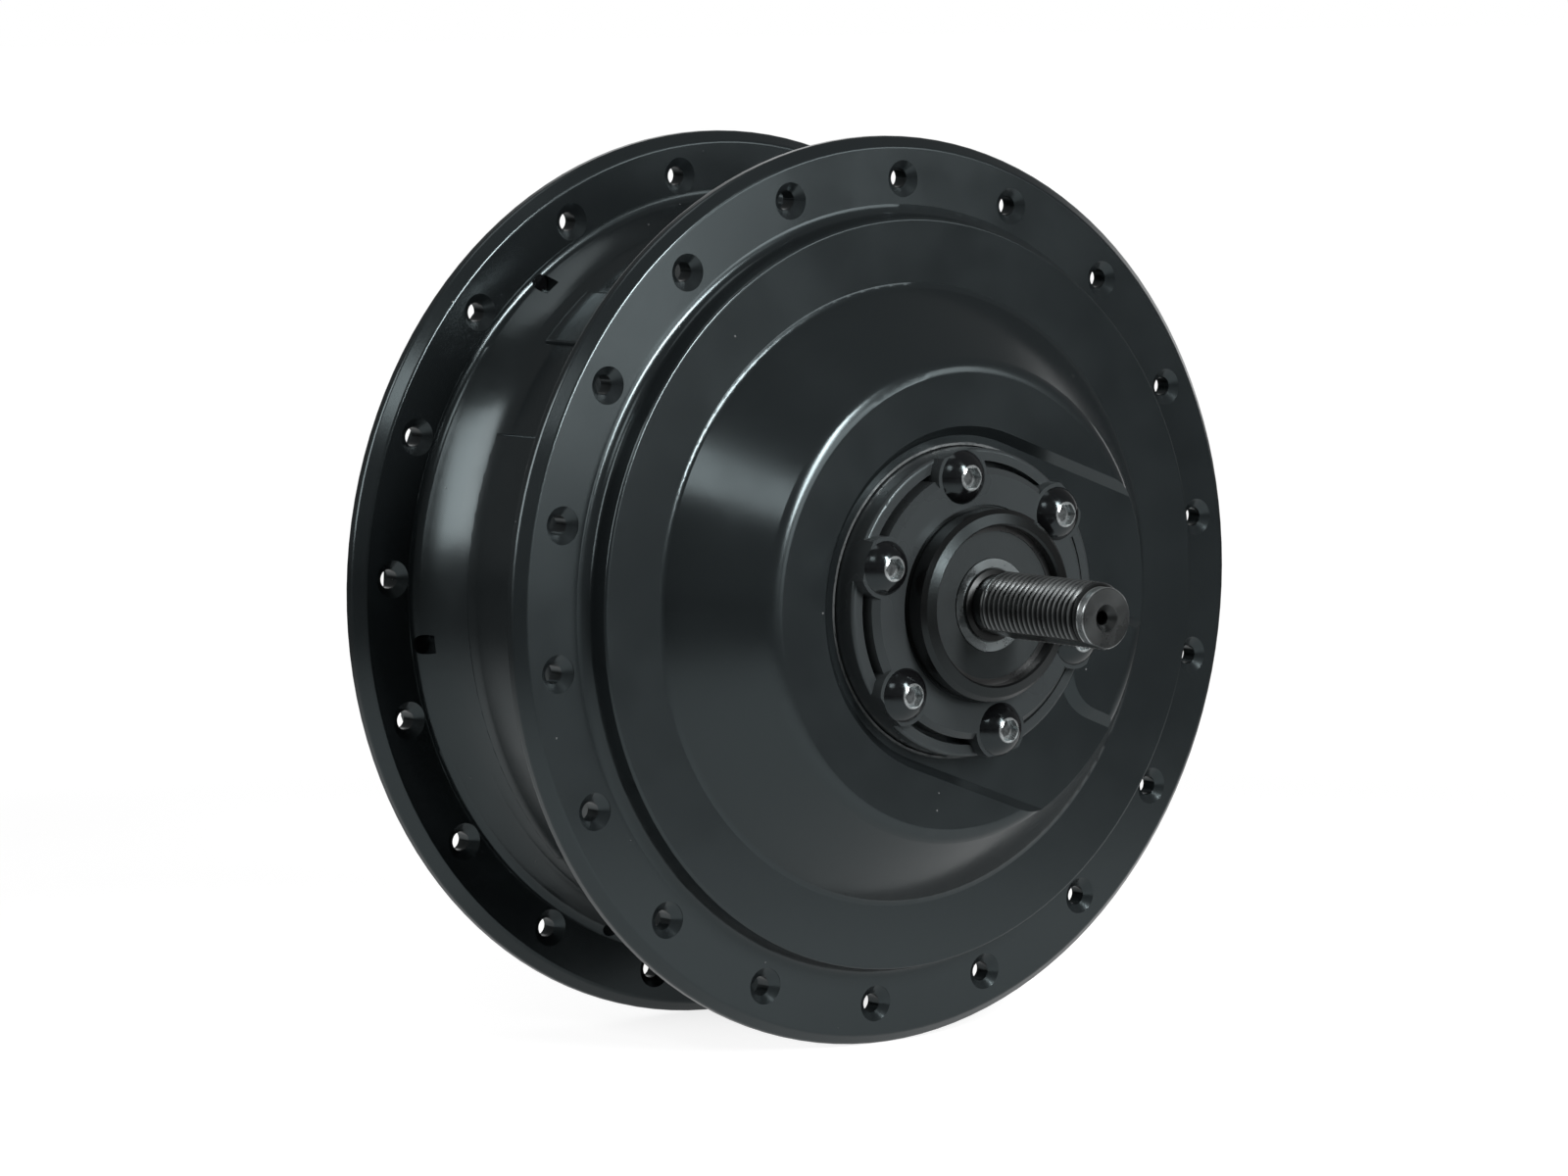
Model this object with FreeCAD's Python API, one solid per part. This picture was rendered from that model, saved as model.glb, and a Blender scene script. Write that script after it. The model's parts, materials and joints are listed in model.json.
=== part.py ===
import FreeCAD, Part
import math
import os

os.makedirs("parts", exist_ok=True)

# Geared front hub motor, built as it comes apart on a bench.
# The axle lies along Y and the hub's middle, halfway between the flanges, is the origin.
# The gear side, with the long plain axle end, points towards -Y and the disc side towards +Y.
# Every angle is in degrees about +Y, from +X towards -Z.

# Flanges and spoke holes
flange_radius = 92.5
flange_height = 16.3
flange_outer_face = 30.9
flange_thickness = 6.4
flange_draft = 0.6
flange_bevel_radial = 2.1
flange_bevel_axial = 2.3
flange_edge_round = 1.0
spoke_edge_distance = 8.5
spoke_hole_radius = 2.0
countersink_width = 1.85
countersink_depth = 1.45
spokes_per_flange = 18
gear_side_spoke_phase = 12.6
disc_side_spoke_phase = 2.6

# Drum between the flanges
drum_wall = 4.2
drum_fillet_height = 2.8
drum_fillet_run = 5.15
drum_fillet_face_round = 2.2
drum_fillet_root_round = 17.6
drum_fillet_step = 0.35
drum_fillet_step_margin = 4.1
drum_fillet_step_round = 0.15
pad_height = 0.8
pad_half_width = 8.9
pad_edge_round = 0.7
long_pad_start = 135.5
long_pad_end = 206.0
short_pad_start = 222.0
short_pad_end = 233.0

# Gear-side end of the shell: boss, cone and raised plateau
boss_height = 6.1
boss_taper = 0.5
boss_foot_fillet = 2.4
boss_face_round = 0.6
boss_ledge = 13.7
cone_run = 14.8
cone_foot_round = 1.5
cone_top_round = 4.0
plateau_height = 17.3
end_wall = 5.5
cone_wall = 6.0
plateau_wall = 8.0

# Recess in the plateau, open to one side, with an island left in its mouth
recess_depth = 1.9
recess_slope = 1.9
recess_margin = 3.9
recess_angle = 20.5
channel_rise = 2.0
island_angle = 22.0
island_inset = 6.2
island_nose_radius = 7.3
island_slope = 2.1

# Bearing adapter with six ears, let into the plateau
adapter_pocket_radius = 31.3
adapter_pocket_depth = 4.0
adapter_fit = 0.3
adapter_height = 5.9
adapter_bevel_radial = 1.3
adapter_bevel_axial = 1.2
adapter_ring_width = 2.8
adapter_slot_rise = 0.3
adapter_ring_rise = 3.4
adapter_ring_round = 0.8
adapter_rim_inset = 0.1
ear_circle_radius = 26.0
ear_radius = 6.2
ear_foot_radius = 6.6
ear_phase = 19.35
screws_per_circle = 6
bearing_boss_wall = 3.25
bearing_boss_height = 5.8
bearing_boss_chamfer = 0.9
bearing_boss_crown = 0.6
bearing_mouth_chamfer = 0.4
bearing_back_lip = 2.5
bearing_recess = 2.5
boss_groove_width = 0.6
boss_groove_depth = 0.5
inner_boss_margin = 1.7
inner_boss_height = 4.0
inner_boss_step = 1.0

# Screws
m6_radius = 3.0
m6_head_radius = 5.4
m6_head_height = 3.3
m6_socket_flats = 4.0
m6_length = 16.0
m5_radius = 2.5
m4_radius = 2.0
m4_head_radius = 3.8
m4_head_height = 2.2
m4_socket_flats = 2.5
cover_screw_length = 10.0
ring_screw_length = 14.0
ring_screw_head_radius = 3.0
clearance_hole_gap = 0.25
thread_gap = 0.03
drill_overrun = 0.5
socket_depth_share = 0.65

# Disc-side cover
cover_overhang = 4.0
cover_flange_thickness = 3.0
cover_rim_width = 14.2
cover_rim_round = 0.8
cover_spigot_depth = 4.0
cover_spigot_wall = 2.9
cover_spigot_fit = 0.1
cover_edge_round = 0.5
cover_screw_offset = 1.8
cover_screw_phase = 52.9
cover_screw_hole_run = 4.2
cover_ear_radius = 4.6
cover_dish_rise = 4.0
cover_dish_round = 2.0
cover_foot_round = 4.0
disc_boss_height = 25.3
disc_boss_margin = 6.0
disc_boss_flare = 6.0
disc_boss_straight = 6.0
disc_boss_fillet = 3.0
disc_spigot_radius = 17.0
disc_spigot_height = 2.3
disc_spigot_round = 0.4
disc_circle_radius = 22.0
disc_thread_depth = 11.0
disc_to_dropout = 15.3
o_ring_radius = 0.85
o_ring_groove_depth = 1.8
seal_ring_width = 5.5
seal_width = 7.0
seal_gap = 0.1
seal_round = 0.5
seal_lip_thickness = 0.6
seal_lip_opening = 1.8
seal_lip_run = 1.6
seal_lip_back = 1.0
land_width = 2.0
land_slope = 3.0

# Axle
axle_half_length = 98.3
thread_radius = 7.0
thread_end_chamfer = 1.2
relief_radius = 6.2
relief_length = 4.5
relief_slope = 0.6
relief_gap = 0.4
seat_radius = 7.5
seat_chamfer_radial = 0.3
seat_chamfer_axial = 0.6
spider_seat_radius = 10.0
collar_height = 2.0
shank_step = 0.5
shank_gap = 2.0
flat_distance = 5.6
flat_angle = 108.0
centre_mouth_radius = 2.8
centre_drill_radius = 1.4
centre_drill_depth = 8.0
cable_bore_radius = 4.0
wire_exit_radius = 2.5
gland_length = 8.0
gland_hole_radius = 2.8
gland_round = 0.3

# Ball bearings: the widths, outer radii and balls of the three sizes
gear_bearing_outer_radius = 16.0
gear_bearing_width = 9.0
gear_bearing_ball_radius = 2.38
gear_bearing_balls = 9
disc_bearing_outer_radius = 21.0
disc_bearing_width = 12.0
disc_bearing_ball_radius = 3.175
disc_bearing_balls = 9
rotor_bearing_outer_radius = 14.0
rotor_bearing_width = 7.0
rotor_bearing_ball_radius = 1.98
rotor_bearing_balls = 11
ball_play = 0.02
cage_play = 0.06
cage_thickness = 1.0
cage_rim = 0.35
shoulder_share = 0.78
bearing_seal_inset = 0.15
bearing_seal_thickness = 0.85
bearing_seal_step = 0.6
bearing_rim = 1.2
running_gap = 0.15

# Planetary gears
sun_teeth = 16
planet_teeth = 32
planets = 3
planet_phase = 90.0
addendum_share = 0.8
dedendum_share = 1.0
backlash = 0.25
pressure_angle = 20.0
gear_width = 13.0
planet_face_gap = 0.6
ring_gear_width = 14.0
ring_gear_fit = 1.4
ring_gear_rim = 10.6
ring_screw_inset = 4.2
ring_screw_phase = 5.0
ring_screw_sink = 3.0
sun_bore_gap = 0.5
sun_shank_wall = 2.3
sun_overhang = 0.4
sun_shank_gap = 0.6
sun_shank_inset = 0.5
planet_pin_radius = 4.0
planet_pin_stub = 0.4
planet_bush_wall = 1.95
planet_side_gap = 0.2
bush_play = 0.05
pin_collar_radius = 6.5
pin_clip_thickness = 1.0

# Planet carrier and one-way clutch
carrier_gap = 1.5
carrier_thickness = 7.0
carrier_margin = 7.5
carrier_round = 1.0
clutch_hub_wall = 7.1
clutch_gap = 0.6
clutch_rollers = 8
roller_radius = 1.9
roller_play = 0.04
roller_end_gap = 0.2
clutch_pocket_half_width = 2.6

# Rotor, stator and electronics
rotor_gear_gap = 2.4
rotor_plate_thickness = 3.0
rotor_shell_gap = 5.0
rotor_wall = 2.8
rotor_hub_wall = 4.0
rotor_rim_overhang = 3.0
rotor_corner_round = 3.0
rotor_rim_round = 0.5
rotor_bearing_inset = 1.5
magnet_count = 20
magnet_thickness = 3.0
magnet_gap_angle = 1.2
air_gap = 0.8
core_to_cover = 9.9
core_depth = 22.4
core_yoke = 6.0
slot_count = 18
tooth_tip_thickness = 2.6
slot_mouth = 3.0
coil_thickness = 3.1
coil_overhang = 4.0
coil_plate_gap = 1.5
coil_gap = 0.15
coil_foot_gap = 1.0
coil_side_gap = 0.71
coil_tip_gap = 0.5
coil_round = 1.5
spider_hub_wall = 7.0
spider_hub_gap = 2.0
spider_hub_overhang = 3.0
spider_web_inset = 4.0
spider_web_thickness = 5.0
spider_rim_wall = 4.0
spider_rim_inset = 2.0
spider_round = 1.5
board_inset = 3.4
board_width = 11.0
board_thickness = 1.4
board_start_angle = 200.0
board_sweep = 120.0
hall_count = 3
hall_step_angle = 26.7
hall_size = 4.0
hall_inset = 1.0
hall_height = 1.6

# Keys and circlips
key_width = 5.0
key_height = 5.0
key_margin = 2.0
clutch_key_width = 3.0
clutch_key_height = 3.0
clutch_key_margin = 0.5
key_angle = 270.0
circlip_thickness = 1.0
circlip_groove_depth = 0.5
circlip_ring_width = 2.2
circlip_opening = 50.0
circlip_gap = 0.1
tool_overrun = 1.0

# Shell and adapter, worked out from the driving dimensions
V = FreeCAD.Vector
ORIGIN = V(0, 0, 0)
AXIS = V(0, 1, 0)
drum_radius = flange_radius - flange_height
cavity_radius = drum_radius - drum_wall
spoke_circle_radius = flange_radius - spoke_edge_distance
flange_inner_face = flange_outer_face - flange_thickness
boss_top_radius = drum_radius
boss_foot_radius = boss_top_radius + boss_taper
boss_face = flange_outer_face + boss_height
cone_foot_radius = boss_top_radius - boss_ledge
cone_top_radius = cone_foot_radius - cone_run
plateau_face = boss_face + plateau_height
plateau_inner = plateau_face - plateau_wall
end_wall_inner = boss_face - end_wall
inner_boss_face = plateau_inner - inner_boss_height
inner_boss_radius = adapter_pocket_radius + inner_boss_margin
inner_boss_bore_radius = gear_bearing_outer_radius - inner_boss_step
recess_floor = plateau_face - recess_depth
recess_top_radius = adapter_pocket_radius + recess_margin
island_centre_radius = cone_top_radius - island_inset
adapter_seat = plateau_face - adapter_pocket_depth
adapter_radius = adapter_pocket_radius - adapter_fit
adapter_top = plateau_face + adapter_height
adapter_body_radius = ear_circle_radius - adapter_rim_inset
adapter_slot_outer_radius = adapter_pocket_radius - adapter_ring_width
adapter_slot_floor = plateau_face + adapter_slot_rise
adapter_ring_top = plateau_face + adapter_ring_rise
bearing_boss_radius = gear_bearing_outer_radius + bearing_boss_wall
bearing_boss_top = adapter_top + bearing_boss_height
gear_bearing_face = bearing_boss_top - bearing_recess
gear_bearing_back = gear_bearing_face - gear_bearing_width

# Cover, disc-side bearing and axle
cover_radius = drum_radius + cover_overhang
cover_face = flange_outer_face + cover_flange_thickness
cover_screw_circle = drum_radius + cover_screw_offset
cover_screw_hole_bottom = flange_inner_face - cover_screw_hole_run
cover_dish_radius = cover_radius - cover_rim_width
disc_face = flange_outer_face + disc_boss_height
disc_boss_radius = disc_circle_radius + disc_boss_margin
cover_hub_foot_radius = disc_boss_radius + disc_boss_flare
disc_side_thread_start = disc_face + disc_to_dropout
disc_side_shank_radius = spider_seat_radius - shank_step
seal_radius = disc_side_shank_radius + seal_ring_width
land_radius = seal_radius - land_width
disc_seal_start = disc_face + disc_spigot_height - seal_width - bearing_seal_inset
disc_bearing_start = flange_outer_face + seal_gap
disc_bearing_end = disc_bearing_start + disc_bearing_width
gear_side_thread_start = gear_bearing_face + relief_length
collar_radius = spider_seat_radius + collar_height

# Gears, carrier and clutch
ring_teeth = sun_teeth + 2 * planet_teeth
ring_gear_outer_radius = cavity_radius - ring_gear_fit
ring_screw_circle = ring_gear_outer_radius - ring_screw_inset
ring_pitch = ring_gear_outer_radius - ring_gear_rim
gear_module = 2 * ring_pitch / ring_teeth
addendum = addendum_share * gear_module
dedendum = dedendum_share * gear_module
sun_pitch = gear_module * sun_teeth / 2
planet_pitch = gear_module * planet_teeth / 2
planet_circle = sun_pitch + planet_pitch
ring_gear_end = end_wall_inner - ring_gear_width
planet_gear_start = end_wall_inner - planet_face_gap
planet_gear_end = planet_gear_start - gear_width
sun_bore_radius = seat_radius + sun_bore_gap
sun_shank_radius = sun_bore_radius + sun_shank_wall
bush_radius = planet_pin_radius + bush_play + planet_bush_wall
carrier_face = inner_boss_face - carrier_gap
carrier_inner_face = carrier_face - carrier_thickness
carrier_radius = planet_circle + carrier_margin
clutch_hub_radius = seat_radius + clutch_hub_wall
carrier_bore_radius = clutch_hub_radius + clutch_gap

# Rotor, stator and board
rotor_plate_face = planet_gear_end - rotor_gear_gap
rotor_plate_back = rotor_plate_face - rotor_plate_thickness
rotor_radius = cavity_radius - rotor_shell_gap
rotor_hub_radius = rotor_bearing_outer_radius + rotor_hub_wall
rotor_bearing_start = -rotor_plate_back + rotor_bearing_inset
rotor_bearing_end = rotor_bearing_start + 2 * rotor_bearing_width
magnet_outer_radius = rotor_radius - rotor_wall
magnet_inner_radius = magnet_outer_radius - magnet_thickness
stator_radius = magnet_inner_radius - air_gap
core_inner_radius = stator_radius - core_depth
coil_foot_radius = core_inner_radius + core_yoke + coil_gap + coil_foot_gap
coil_half_room = coil_foot_radius * math.tan(math.pi / slot_count) - coil_side_gap
tooth_width = 2 * (coil_half_room - coil_thickness - coil_gap)
core_start = -rotor_plate_back + coil_overhang + coil_plate_gap
core_end = flange_outer_face - core_to_cover
rotor_rim_end = core_end + rotor_rim_overhang
coil_end = core_end + coil_overhang
spider_hub_radius = spider_seat_radius + spider_hub_wall
spider_hub_start = rotor_bearing_end + spider_hub_gap
spider_hub_end = core_end + spider_hub_overhang
spider_web_start = spider_hub_start + spider_web_inset
board_outer_radius = stator_radius - board_inset
board_inner_radius = board_outer_radius - board_width


def spot(radius, y, angle):
    """The point at a radius and an angle round the axle."""
    turn = math.radians(angle)
    return V(radius * math.cos(turn), y, -radius * math.sin(turn))


def turned(shape, angle):
    """A copy of a shape turned round the axle."""
    copy = shape.copy()
    copy.rotate(ORIGIN, AXIS, angle)
    return copy


def round_the_axle(shape, count, phase=0.0):
    """Evenly spaced copies of a shape that was made at angle 0."""
    return [turned(shape, phase + 360.0 * step / count) for step in range(count)]


def spun(points):
    """A solid of revolution about the axle from (radius, y, corner radius) points."""
    corners = [V(point[0], point[1], 0) for point in points]
    rounds = [point[2] if len(point) > 2 else 0.0 for point in points]
    edges = []
    ends = []
    for index, corner in enumerate(corners):
        before = corners[index - 1] - corner
        after = corners[(index + 1) % len(corners)] - corner
        before.normalize()
        after.normalize()
        half = before.getAngle(after) / 2
        run = rounds[index] / math.tan(half)
        entry = corner + before * run
        leave = corner + after * run
        if rounds[index]:
            inwards = before + after
            inwards.normalize()
            depth = rounds[index] / math.sin(half) - rounds[index]
            edges.append(Part.Arc(entry, corner + inwards * depth, leave).toShape())
        ends.append((entry, leave))
    for index, (entry, leave) in enumerate(ends):
        following = ends[(index + 1) % len(ends)][0]
        edges.append(Part.LineSegment(leave, following).toShape())
    wire = Part.Wire(Part.__sortEdges__(edges))
    return Part.Face(wire).revolve(ORIGIN, AXIS, 360)


def ring(inner, outer, start, end):
    """A plain ring, or a disc where inner is 0, between two places on the axle."""
    low, high = min(start, end), max(start, end)
    return spun([(inner, low), (outer, low), (outer, high), (inner, high)])


def sector(inner, outer, start, end, first_angle, last_angle):
    """A ring's sector between two angles."""
    low, high = min(start, end), max(start, end)
    corners = [V(inner, low, 0), V(outer, low, 0), V(outer, high, 0), V(inner, high, 0)]
    face = Part.Face(Part.makePolygon(corners + corners[:1]))
    return turned(face.revolve(ORIGIN, AXIS, last_angle - first_angle), first_angle)


def rod(radius, start, end, circle=0.0, angle=0.0):
    """A cylinder along Y, on the axle or on a circle round it."""
    low, high = min(start, end), max(start, end)
    return Part.makeCylinder(radius, high - low, spot(circle, low, angle), AXIS)


def taper(start_radius, end_radius, start, end, circle=0.0, angle=0.0):
    """A cone along Y from one place to another."""
    direction = V(0, math.copysign(1, end - start), 0)
    return Part.makeCone(start_radius, end_radius, abs(end - start), spot(circle, start, angle), direction)


def block(x_low, x_high, y_low, y_high, z_low, z_high):
    """A box by its faces."""
    return Part.makeBox(x_high - x_low, y_high - y_low, z_high - z_low, V(x_low, y_low, z_low))


def hexagon(flats, start, end, circle, angle):
    """A hexagonal prism along Y."""
    centre = spot(circle, start, angle)
    corner_radius = flats / math.sqrt(3)
    corners = [centre + spot(corner_radius, 0, 60 * step) for step in range(7)]
    return Part.Face(Part.makePolygon(corners)).extrude(V(0, end - start, 0))


def button_screw(radius, head_radius, head_height, flats, length, seat, outwards, circle, angle):
    """A screw with a domed head and a hexagonal socket, its head towards outwards."""
    head_top = seat + outwards * head_height
    dome_radius = (head_radius ** 2 + head_height ** 2) / (2 * head_height)
    dome_centre = head_top - outwards * dome_radius
    halfway = math.asin(head_radius / dome_radius) / 2
    arc_height = dome_centre + outwards * dome_radius * math.cos(halfway)
    arc_middle = V(dome_radius * math.sin(halfway), arc_height, 0)
    rim, top = V(head_radius, seat, 0), V(0, head_top, 0)
    shank_radius = radius - thread_gap
    tip = seat - outwards * length
    edges = [Part.Arc(top, arc_middle, rim).toShape()]
    corners = [rim, V(shank_radius, seat, 0), V(shank_radius, tip, 0), V(0, tip, 0), top]
    edges += [Part.LineSegment(first, second).toShape() for first, second in zip(corners, corners[1:])]
    screw = Part.Face(Part.Wire(edges)).revolve(ORIGIN, AXIS, 360)
    socket = hexagon(flats, head_top, head_top - outwards * head_height * socket_depth_share, 0, 0)
    screw = screw.cut(socket)
    screw.translate(spot(circle, 0, angle))
    return screw


def sloped_channel(top_radius, slope, centre_radius, angle):
    """A flaring slot from the recess floor outwards, round at its inner end and open at the other."""
    depth = recess_depth * channel_rise
    foot = top_radius - slope
    mouth = foot + slope * channel_rise
    top = -recess_floor - depth
    nose = taper(foot, mouth, -recess_floor, top, centre_radius, 0)
    corners = [V(centre_radius, -recess_floor, foot), V(centre_radius, -recess_floor, -foot),
               V(centre_radius, top, -mouth), V(centre_radius, top, mouth)]
    channel = Part.Face(Part.makePolygon(corners + corners[:1])).extrude(V(drum_radius, 0, 0))
    return turned(nose.fuse(channel), angle)


def spoke_hole(start, end, angle):
    """A spoke hole's drill with a countersink at both faces of the flange."""
    low, high = min(start, end), max(start, end)
    mouth_radius = spoke_hole_radius + countersink_width
    drill = rod(spoke_hole_radius, low, high, spoke_circle_radius, angle)
    lower = taper(mouth_radius, spoke_hole_radius, low, low + countersink_depth, spoke_circle_radius, angle)
    upper = taper(mouth_radius, spoke_hole_radius, high, high - countersink_depth, spoke_circle_radius, angle)
    lower_mouth = rod(mouth_radius, low - tool_overrun, low, spoke_circle_radius, angle)
    upper_mouth = rod(mouth_radius, high, high + tool_overrun, spoke_circle_radius, angle)
    return drill.fuse([lower, upper, lower_mouth, upper_mouth])


def drum_pad(first_angle, last_angle):
    """A raised pad on the drum with softened edges along it."""
    pad = sector(cavity_radius + pad_height, drum_radius + pad_height, -pad_half_width, pad_half_width,
                 first_angle, last_angle)
    rim = [edge for edge in pad.Edges
           if all(math.hypot(v.X, v.Z) > drum_radius + pad_height / 2 for v in edge.Vertexes)]
    return pad.makeFillet(pad_edge_round, rim)


def cone_radius(y):
    """Radius of the shell's outer cone at a distance along the gear side."""
    share = (y - boss_face) / (plateau_face - boss_face)
    return cone_foot_radius + share * (cone_top_radius - cone_foot_radius)


def make_hub_shell():
    """Drum, both flanges and the gear-side end wall in one casting, open towards the disc side."""
    slope = (cone_foot_radius - cone_top_radius) / (plateau_face - boss_face)
    inset = cone_wall * math.hypot(1, slope)
    bevel_start = flange_radius - flange_bevel_radial
    rim_half = flange_thickness / 2 - flange_bevel_axial
    rim_middle = flange_outer_face - flange_thickness / 2
    step_radius = drum_radius + drum_fillet_step_margin
    fillet_face = flange_inner_face - drum_fillet_step
    outline = [
        (cavity_radius, flange_outer_face),
        (bevel_start, flange_outer_face, flange_edge_round),
        (flange_radius, rim_middle + rim_half, flange_edge_round),
        (flange_radius, rim_middle - rim_half, flange_edge_round),
        (bevel_start, flange_inner_face, flange_edge_round),
        (step_radius, flange_inner_face),
        (step_radius, fillet_face, drum_fillet_step_round),
        (drum_radius + drum_fillet_height, fillet_face, drum_fillet_face_round),
        (drum_radius, fillet_face - drum_fillet_run, drum_fillet_root_round),
        (drum_radius, -fillet_face + drum_fillet_run, drum_fillet_root_round),
        (drum_radius + drum_fillet_height, -fillet_face, drum_fillet_face_round),
        (step_radius, -fillet_face, drum_fillet_step_round),
        (step_radius, -flange_inner_face),
        (bevel_start, -flange_inner_face, flange_edge_round),
        (flange_radius, -rim_middle + rim_half, flange_edge_round),
        (flange_radius, -rim_middle - rim_half, flange_edge_round),
        (bevel_start, -flange_outer_face + flange_draft / 2, flange_edge_round),
        (boss_foot_radius, -flange_outer_face - flange_draft / 2, boss_foot_fillet),
        (boss_top_radius, -boss_face, boss_face_round),
        (cone_foot_radius, -boss_face, cone_foot_round),
        (cone_top_radius, -plateau_face, cone_top_round),
        (adapter_pocket_radius, -plateau_face),
        (adapter_pocket_radius, -adapter_seat),
        (inner_boss_bore_radius, -adapter_seat),
        (inner_boss_bore_radius, -inner_boss_face),
        (inner_boss_radius, -inner_boss_face),
        (inner_boss_radius, -plateau_inner),
        (cone_radius(plateau_inner) - inset, -plateau_inner),
        (cone_radius(end_wall_inner) - inset, -end_wall_inner),
        (cavity_radius, -end_wall_inner),
    ]
    shell = spun(outline)
    pads = [drum_pad(long_pad_start, long_pad_end), drum_pad(short_pad_start, short_pad_end)]
    shell = shell.fuse(pads)
    recess = sloped_channel(recess_top_radius, recess_slope, 0.0, recess_angle)
    island_foot = island_nose_radius + island_slope
    island = sloped_channel(island_foot, -island_slope, island_centre_radius, island_angle)
    tools = [recess.cut(island)]
    for step in range(spokes_per_flange):
        angle = 360.0 * step / spokes_per_flange
        tools.append(spoke_hole(-flange_outer_face, -flange_inner_face, gear_side_spoke_phase + angle))
        tools.append(spoke_hole(flange_inner_face, flange_outer_face, disc_side_spoke_phase + angle))
    for step in range(screws_per_circle):
        angle = 360.0 * step / screws_per_circle
        tools.append(rod(m6_radius, -adapter_seat, -adapter_top + m6_length + drill_overrun,
                         ear_circle_radius, ear_phase + angle))
        tools.append(rod(m4_radius, cover_screw_hole_bottom, flange_outer_face, cover_screw_circle,
                         cover_screw_phase + angle))
        ring_screw_bottom = -ring_gear_end - ring_screw_sink - ring_screw_length - drill_overrun
        tools.append(rod(m4_radius, -end_wall_inner, ring_screw_bottom, ring_screw_circle,
                         ring_screw_phase + angle))
    return shell.cut(tools)


def make_bearing_adapter():
    """Round plate with a stepped ring, six ears and the boss that holds the gear-side bearing."""
    bore_radius = gear_bearing_outer_radius
    wall_radius = adapter_body_radius + adapter_bevel_radial
    outline = [
        (bore_radius - bearing_back_lip, -adapter_seat),
        (adapter_radius, -adapter_seat),
        (adapter_radius, -adapter_ring_top, adapter_ring_round),
        (adapter_slot_outer_radius, -adapter_ring_top),
        (adapter_slot_outer_radius, -adapter_slot_floor),
        (wall_radius, -adapter_slot_floor),
        (wall_radius, -adapter_top + adapter_bevel_axial),
        (adapter_body_radius, -adapter_top),
        (bearing_boss_radius + boss_groove_width, -adapter_top),
        (bearing_boss_radius + boss_groove_width, -adapter_top + boss_groove_depth),
        (bearing_boss_radius, -adapter_top + boss_groove_depth),
        (bearing_boss_radius, -bearing_boss_top + bearing_boss_crown + bearing_boss_chamfer),
        (bearing_boss_radius - bearing_boss_chamfer, -bearing_boss_top + bearing_boss_crown),
        (bore_radius + bearing_mouth_chamfer, -bearing_boss_top),
        (bore_radius, -bearing_boss_top + bearing_mouth_chamfer),
        (bore_radius, -gear_bearing_back),
        (bore_radius - bearing_back_lip, -gear_bearing_back),
    ]
    plate = spun(outline)
    ears = [taper(ear_foot_radius, ear_radius, -adapter_seat, -adapter_top, ear_circle_radius, 0)]
    ears = round_the_axle(ears[0], screws_per_circle, ear_phase)
    trim = ring(bearing_boss_radius + boss_groove_width, adapter_radius, -adapter_seat, -adapter_top)
    ears = [ear.common(trim) for ear in ears]
    hole = rod(m6_radius + clearance_hole_gap, -adapter_seat, -adapter_top, ear_circle_radius, 0)
    holes = round_the_axle(hole, screws_per_circle, ear_phase)
    return plate.fuse(ears).removeSplitter().cut(holes)


def make_side_cover():
    """Disc-side cover with the far bearing's pocket, the seal's pocket and the disc's boss."""
    spigot_radius = cavity_radius - cover_spigot_fit
    spigot_end = flange_outer_face - cover_spigot_depth
    groove_middle = flange_outer_face - cover_spigot_depth / 2
    groove_half = o_ring_radius + seal_gap
    outline = [
        (disc_bearing_outer_radius, flange_outer_face),
        (spigot_radius - cover_spigot_wall, flange_outer_face),
        (spigot_radius - cover_spigot_wall, spigot_end),
        (spigot_radius, spigot_end, cover_edge_round),
        (spigot_radius, groove_middle - groove_half),
        (spigot_radius - o_ring_groove_depth, groove_middle - groove_half),
        (spigot_radius - o_ring_groove_depth, groove_middle + groove_half),
        (spigot_radius, groove_middle + groove_half),
        (spigot_radius, flange_outer_face),
        (cover_radius, flange_outer_face),
        (cover_radius, cover_face, cover_rim_round),
        (cover_dish_radius, cover_face, cover_dish_round),
        (cover_hub_foot_radius, cover_face + cover_dish_rise, cover_foot_round),
        (disc_boss_radius, disc_face - disc_boss_straight, disc_boss_fillet),
        (disc_boss_radius, disc_face, cover_edge_round),
        (disc_spigot_radius, disc_face),
        (disc_spigot_radius, disc_face + disc_spigot_height, disc_spigot_round),
        (seal_radius, disc_face + disc_spigot_height),
        (seal_radius, disc_seal_start),
        (land_radius, disc_seal_start),
        (land_radius, disc_bearing_end + land_slope),
        (disc_bearing_outer_radius - land_slope, disc_bearing_end),
        (disc_bearing_outer_radius, disc_bearing_end),
    ]
    cover = spun(outline)
    ear = rod(cover_ear_radius, flange_outer_face, cover_face, cover_screw_circle, 0)
    cover = cover.fuse(round_the_axle(ear, screws_per_circle, cover_screw_phase)).removeSplitter()
    screw_hole = rod(m4_radius + clearance_hole_gap, flange_outer_face, cover_face, cover_screw_circle, 0)
    disc_hole = rod(m5_radius, disc_face, disc_face - disc_thread_depth, disc_circle_radius, 0)
    tools = round_the_axle(screw_hole, screws_per_circle, cover_screw_phase)
    tools += round_the_axle(disc_hole, screws_per_circle, 0.0)
    return cover.cut(tools)


def circlip_groove(seat, y, towards):
    """The groove in a shaft whose clip lies against a face at y, on the side given by towards."""
    start = y + towards * circlip_gap
    return ring(seat - circlip_groove_depth, seat + tool_overrun, start, start + towards * circlip_thickness)


def circlip(seat, y, towards):
    """An open spring ring that sits in a shaft's groove."""
    start = y + towards * circlip_gap
    inner = seat - circlip_groove_depth
    return sector(inner, inner + circlip_ring_width, start, start + towards * circlip_thickness,
                  circlip_opening / 2, 360.0 - circlip_opening / 2)


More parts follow.
